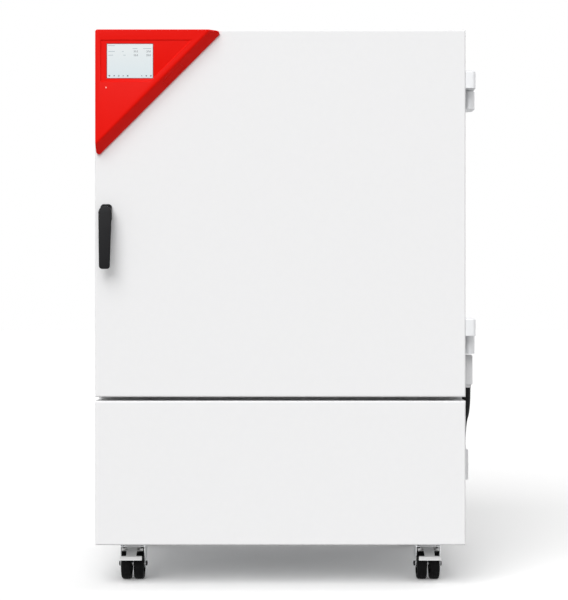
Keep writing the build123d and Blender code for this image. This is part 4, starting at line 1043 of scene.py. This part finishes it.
@dataclass(frozen=True)
class Cabinet:
    """The finishes of the CAD nodes, and the fasteners that show outside.

    A softened row gives the node, the width of its bevels, its finish and its body.
    """

    frame: DesignFrame
    plain: tuple[tuple[Finish, tuple[str, ...]], ...] = (
        (WHITE_COAT, ("side_panel_left", "side_panel_right", "top_panel", "rear_panel",
                      "lower_front_panel", "front_frame", "door_outer_skin")),
        (STAINLESS, ("chamber_liner", "shelf_upper", "shelf_lower", "door_inner_panel", "air_heater",
                     "access_port_sleeve")),
        (STAINLESS_UP, ("air_ducts", "rear_air_panel")),
        (ZINC, ("base_frame", "divider_plate", "control_box")),
        (FINS, ("evaporator", "condenser", "fan_wheel")),
        (COPPER, ("refrigerant_lines",)),
        (ENAMEL, ("compressor", "fan_motor")),
        (FOAM, ("insulation_jacket", "door_insulation")),
        (HANDLE_BLACK, ("release_plunger", "condenser_fan")),
        (SCREEN_BEZEL, ("touch_screen",)),
        (GLASS, ("glass_pane",)),
    )
    softened: tuple[tuple[str, float, Finish, str], ...] = (
        ("hinge_body_leaves", 1.2, HINGE_GREY, "cabinet"),
        ("hinge_door_leaves", 1.2, HINGE_GREY, "outer_door"),
        ("handle_base", 0.8, HANDLE_BLACK, "outer_door"),
        ("instrument_panel", 1.3, PANEL_RED, "outer_door"),
        ("usb_cover", 0.5, PANEL_RED, "socket_cover"),
        ("switch_box", 0.8, LIGHT_GREY, "cabinet"),
        ("cable_cover", 0.8, LIGHT_GREY, "cabinet"),
        ("main_switch", 0.8, HANDLE_BLACK, "switch_rocker"),
        ("port_plug", 1.2, SILICONE, "plug"),
        ("door_gasket", 1.6, GASKET, "outer_door"),
        ("chamber_gasket", 1.0, SILICONE, "cabinet"),
        ("glass_door_fittings", 0.6, STAINLESS, "glass_door"),
        ("glass_hinge_brackets", 0.8, STAINLESS, "cabinet"),
    )
    screws: tuple[ScrewHeads, ...] = (
        ScrewHeads("rear_panel_screws", Side.REAR, radius=3.6, height=1.3,
                   places=lattice(across=(-436.0, 436.0), depths=(800.0,),
                                  heights=(125.0, 340.0, 560.0, 780.0, 1000.0, 1220.0, 1370.0))),
        ScrewHeads("body_leaf_screws", Side.RIGHT, radius=4.0, height=0.9,
                   places=lattice(across=(492.5,), depths=(88.0,),
                                  heights=(595.0, 616.0, 1214.0, 1235.0))),
        ScrewHeads("door_leaf_screws", Side.RIGHT, radius=4.0, height=0.9,
                   places=lattice(across=(489.0,), depths=(34.0,),
                                  heights=(641.0, 660.0, 1260.0, 1279.0)),
                   body="outer_door"),
        ScrewHeads("switch_box_screws", Side.RIGHT, radius=2.8, height=0.9,
                   places=lattice(across=(489.5,), depths=(171.0, 239.0), heights=(290.0,))),
        ScrewHeads("clamp_screws", Side.FRONT, radius=3.2, height=1.2,
                   places=lattice(across=(330.0,), depths=(86.0,), heights=(538.0, 1332.0)),
                   body="glass_door"),
    )

    def build(self) -> None:
        """Dress every CAD node and add the screw heads."""
        for finish, nodes in self.plain:
            for node in nodes:
                dress(bpy.data.objects[node], finish)
                LOG.info("node %s takes %s", node, finish.name)
        for node, width, finish, body in self.softened:
            soften(node, width, finish, body)
        soften("handle_lever", 0.3, HANDLE_BLACK, "handle", TONGUE_DROP, self.frame)
        for screws in self.screws:
            screws.build(self.frame, ZINC)


@dataclass(frozen=True)
class Light:
    """A far soft light: its name, its level as a share of full white, its direction and its width.

    The direction runs from the object to the light, and the width is an angle in degrees.
    """

    name: str
    level: float
    towards: tuple[float, float, float]
    width: float

    def build(self) -> None:
        """Make the light, turned to shine from its direction."""
        lamp = bpy.data.lights.new(self.name, "SUN")
        lamp.energy = self.level * pi
        lamp.angle = radians(self.width)
        holder = add_object(self.name, lamp)
        holder.rotation_euler = Vector(self.towards).to_track_quat("Z", "Y").to_euler()


@dataclass(frozen=True)
class Studio:
    """Camera, plain light, white floor and background.

    The floor has one shade where it is seen and another for the light that it throws back.
    """

    frame: DesignFrame
    distance: float = 3700.0
    camera_x: float = 9.2
    camera_z: float = 719.0
    lens: float = 88.99
    sensor_width: float = 36.0
    far_clip: float = 100.0
    ambient: float = 0.45
    lights: tuple[Light, ...] = (
        Light("key_light", 0.78, (-0.22, -0.72, 0.66), 50.0),
        Light("fill_light", 0.22, (0.55, 0.78, 0.30), 60.0),
    )
    floor_half: float = 30.0
    floor_roughness: float = 0.9
    floor_thrown: float = 0.4
    floor_seen: float = 0.98
    floor_glow: float = 0.06

    def build(self) -> None:
        """Set up everything that isn't part of the object."""
        bpy.context.scene.view_settings.view_transform = "Standard"
        self._camera()
        self._world()
        for light in self.lights:
            light.build()
        self._floor()

    def _camera(self) -> None:
        """A level camera at the photograph's place."""
        camera = bpy.data.cameras.new("camera")
        camera.lens = self.lens
        camera.sensor_width = self.sensor_width
        camera.clip_end = self.far_clip
        holder = add_object("camera", camera)
        holder.location = self.frame.place(np.array([self.camera_x, -self.distance, self.camera_z]))
        holder.rotation_euler = Euler((radians(90), 0, 0))
        bpy.context.scene.camera = holder

    def _seen_share(self, tree: bpy.types.NodeTree) -> bpy.types.NodeSocket:
        """Add nodes that tell the rays that show a surface from those that only light others.

        Args:
            tree: the node tree that they are added to.

        Returns:
            A socket that is one for a camera, glossy or transmission ray, and zero otherwise.
        """
        path = tree.nodes.new("ShaderNodeLightPath")
        seen = path.outputs["Is Camera Ray"]
        for ray in ("Is Glossy Ray", "Is Transmission Ray"):
            either = tree.nodes.new("ShaderNodeMath")
            either.operation = "MAXIMUM"
            tree.links.new(seen, either.inputs[0])
            tree.links.new(path.outputs[ray], either.inputs[1])
            seen = either.outputs[0]
        return seen

    def _world(self) -> None:
        """White to the eye and to metal and glass, and a plain ambient level otherwise."""
        world = bpy.data.worlds.new("studio")
        world.use_nodes = True
        bpy.context.scene.world = world
        tree = world.node_tree
        ground = tree.nodes["Background"]
        ground.inputs["Color"].default_value = (1, 1, 1, 1)
        level = tree.nodes.new("ShaderNodeMapRange")
        level.inputs["To Min"].default_value = self.ambient
        level.inputs["To Max"].default_value = 1.0
        tree.links.new(self._seen_share(tree), level.inputs["Value"])
        tree.links.new(level.outputs["Result"], ground.inputs["Strength"])

    def _floor(self) -> None:
        """A wide white floor that keeps the object's shadow."""
        half = self.floor_half
        mesh = bpy.data.meshes.new("floor")
        mesh.from_pydata([(-half, -half, 0), (half, -half, 0), (half, half, 0), (-half, half, 0)], [],
                         [(0, 1, 2, 3)])
        floor = add_object("floor", mesh)
        material = bpy.data.materials.new("studio_floor")
        material.use_nodes = True
        tree = material.node_tree
        shader = tree.nodes["Principled BSDF"]
        shader.inputs["Roughness"].default_value = self.floor_roughness
        shader.inputs["Specular IOR Level"].default_value = 0.0
        seen = self._seen_share(tree)
        color = tree.nodes.new("ShaderNodeMix")
        color.data_type = "RGBA"
        color.inputs["A"].default_value = (*[self.floor_thrown] * 3, 1)
        color.inputs["B"].default_value = (*[self.floor_seen] * 3, 1)
        lift = tree.nodes.new("ShaderNodeMath")
        lift.operation = "MULTIPLY"
        lift.inputs[1].default_value = self.floor_glow
        shader.inputs["Emission Color"].default_value = (1, 1, 1, 1)
        tree.links.new(seen, color.inputs["Factor"])
        tree.links.new(color.outputs["Result"], shader.inputs["Base Color"])
        tree.links.new(seen, lift.inputs[0])
        tree.links.new(lift.outputs[0], shader.inputs["Emission Strength"])
        mesh.materials.append(material)


def main() -> None:
    """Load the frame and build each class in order."""
    logging.basicConfig(level=logging.INFO, format="%(name)s: %(message)s")
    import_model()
    frame = DesignFrame.from_door()
    Studio(frame).build()
    Conduit(frame).build()
    Cabinet(frame).build()
    Display(frame).build()
    Casters(frame).build()
    Louvres(frame).build()


if __name__ == "__main__":
    main()
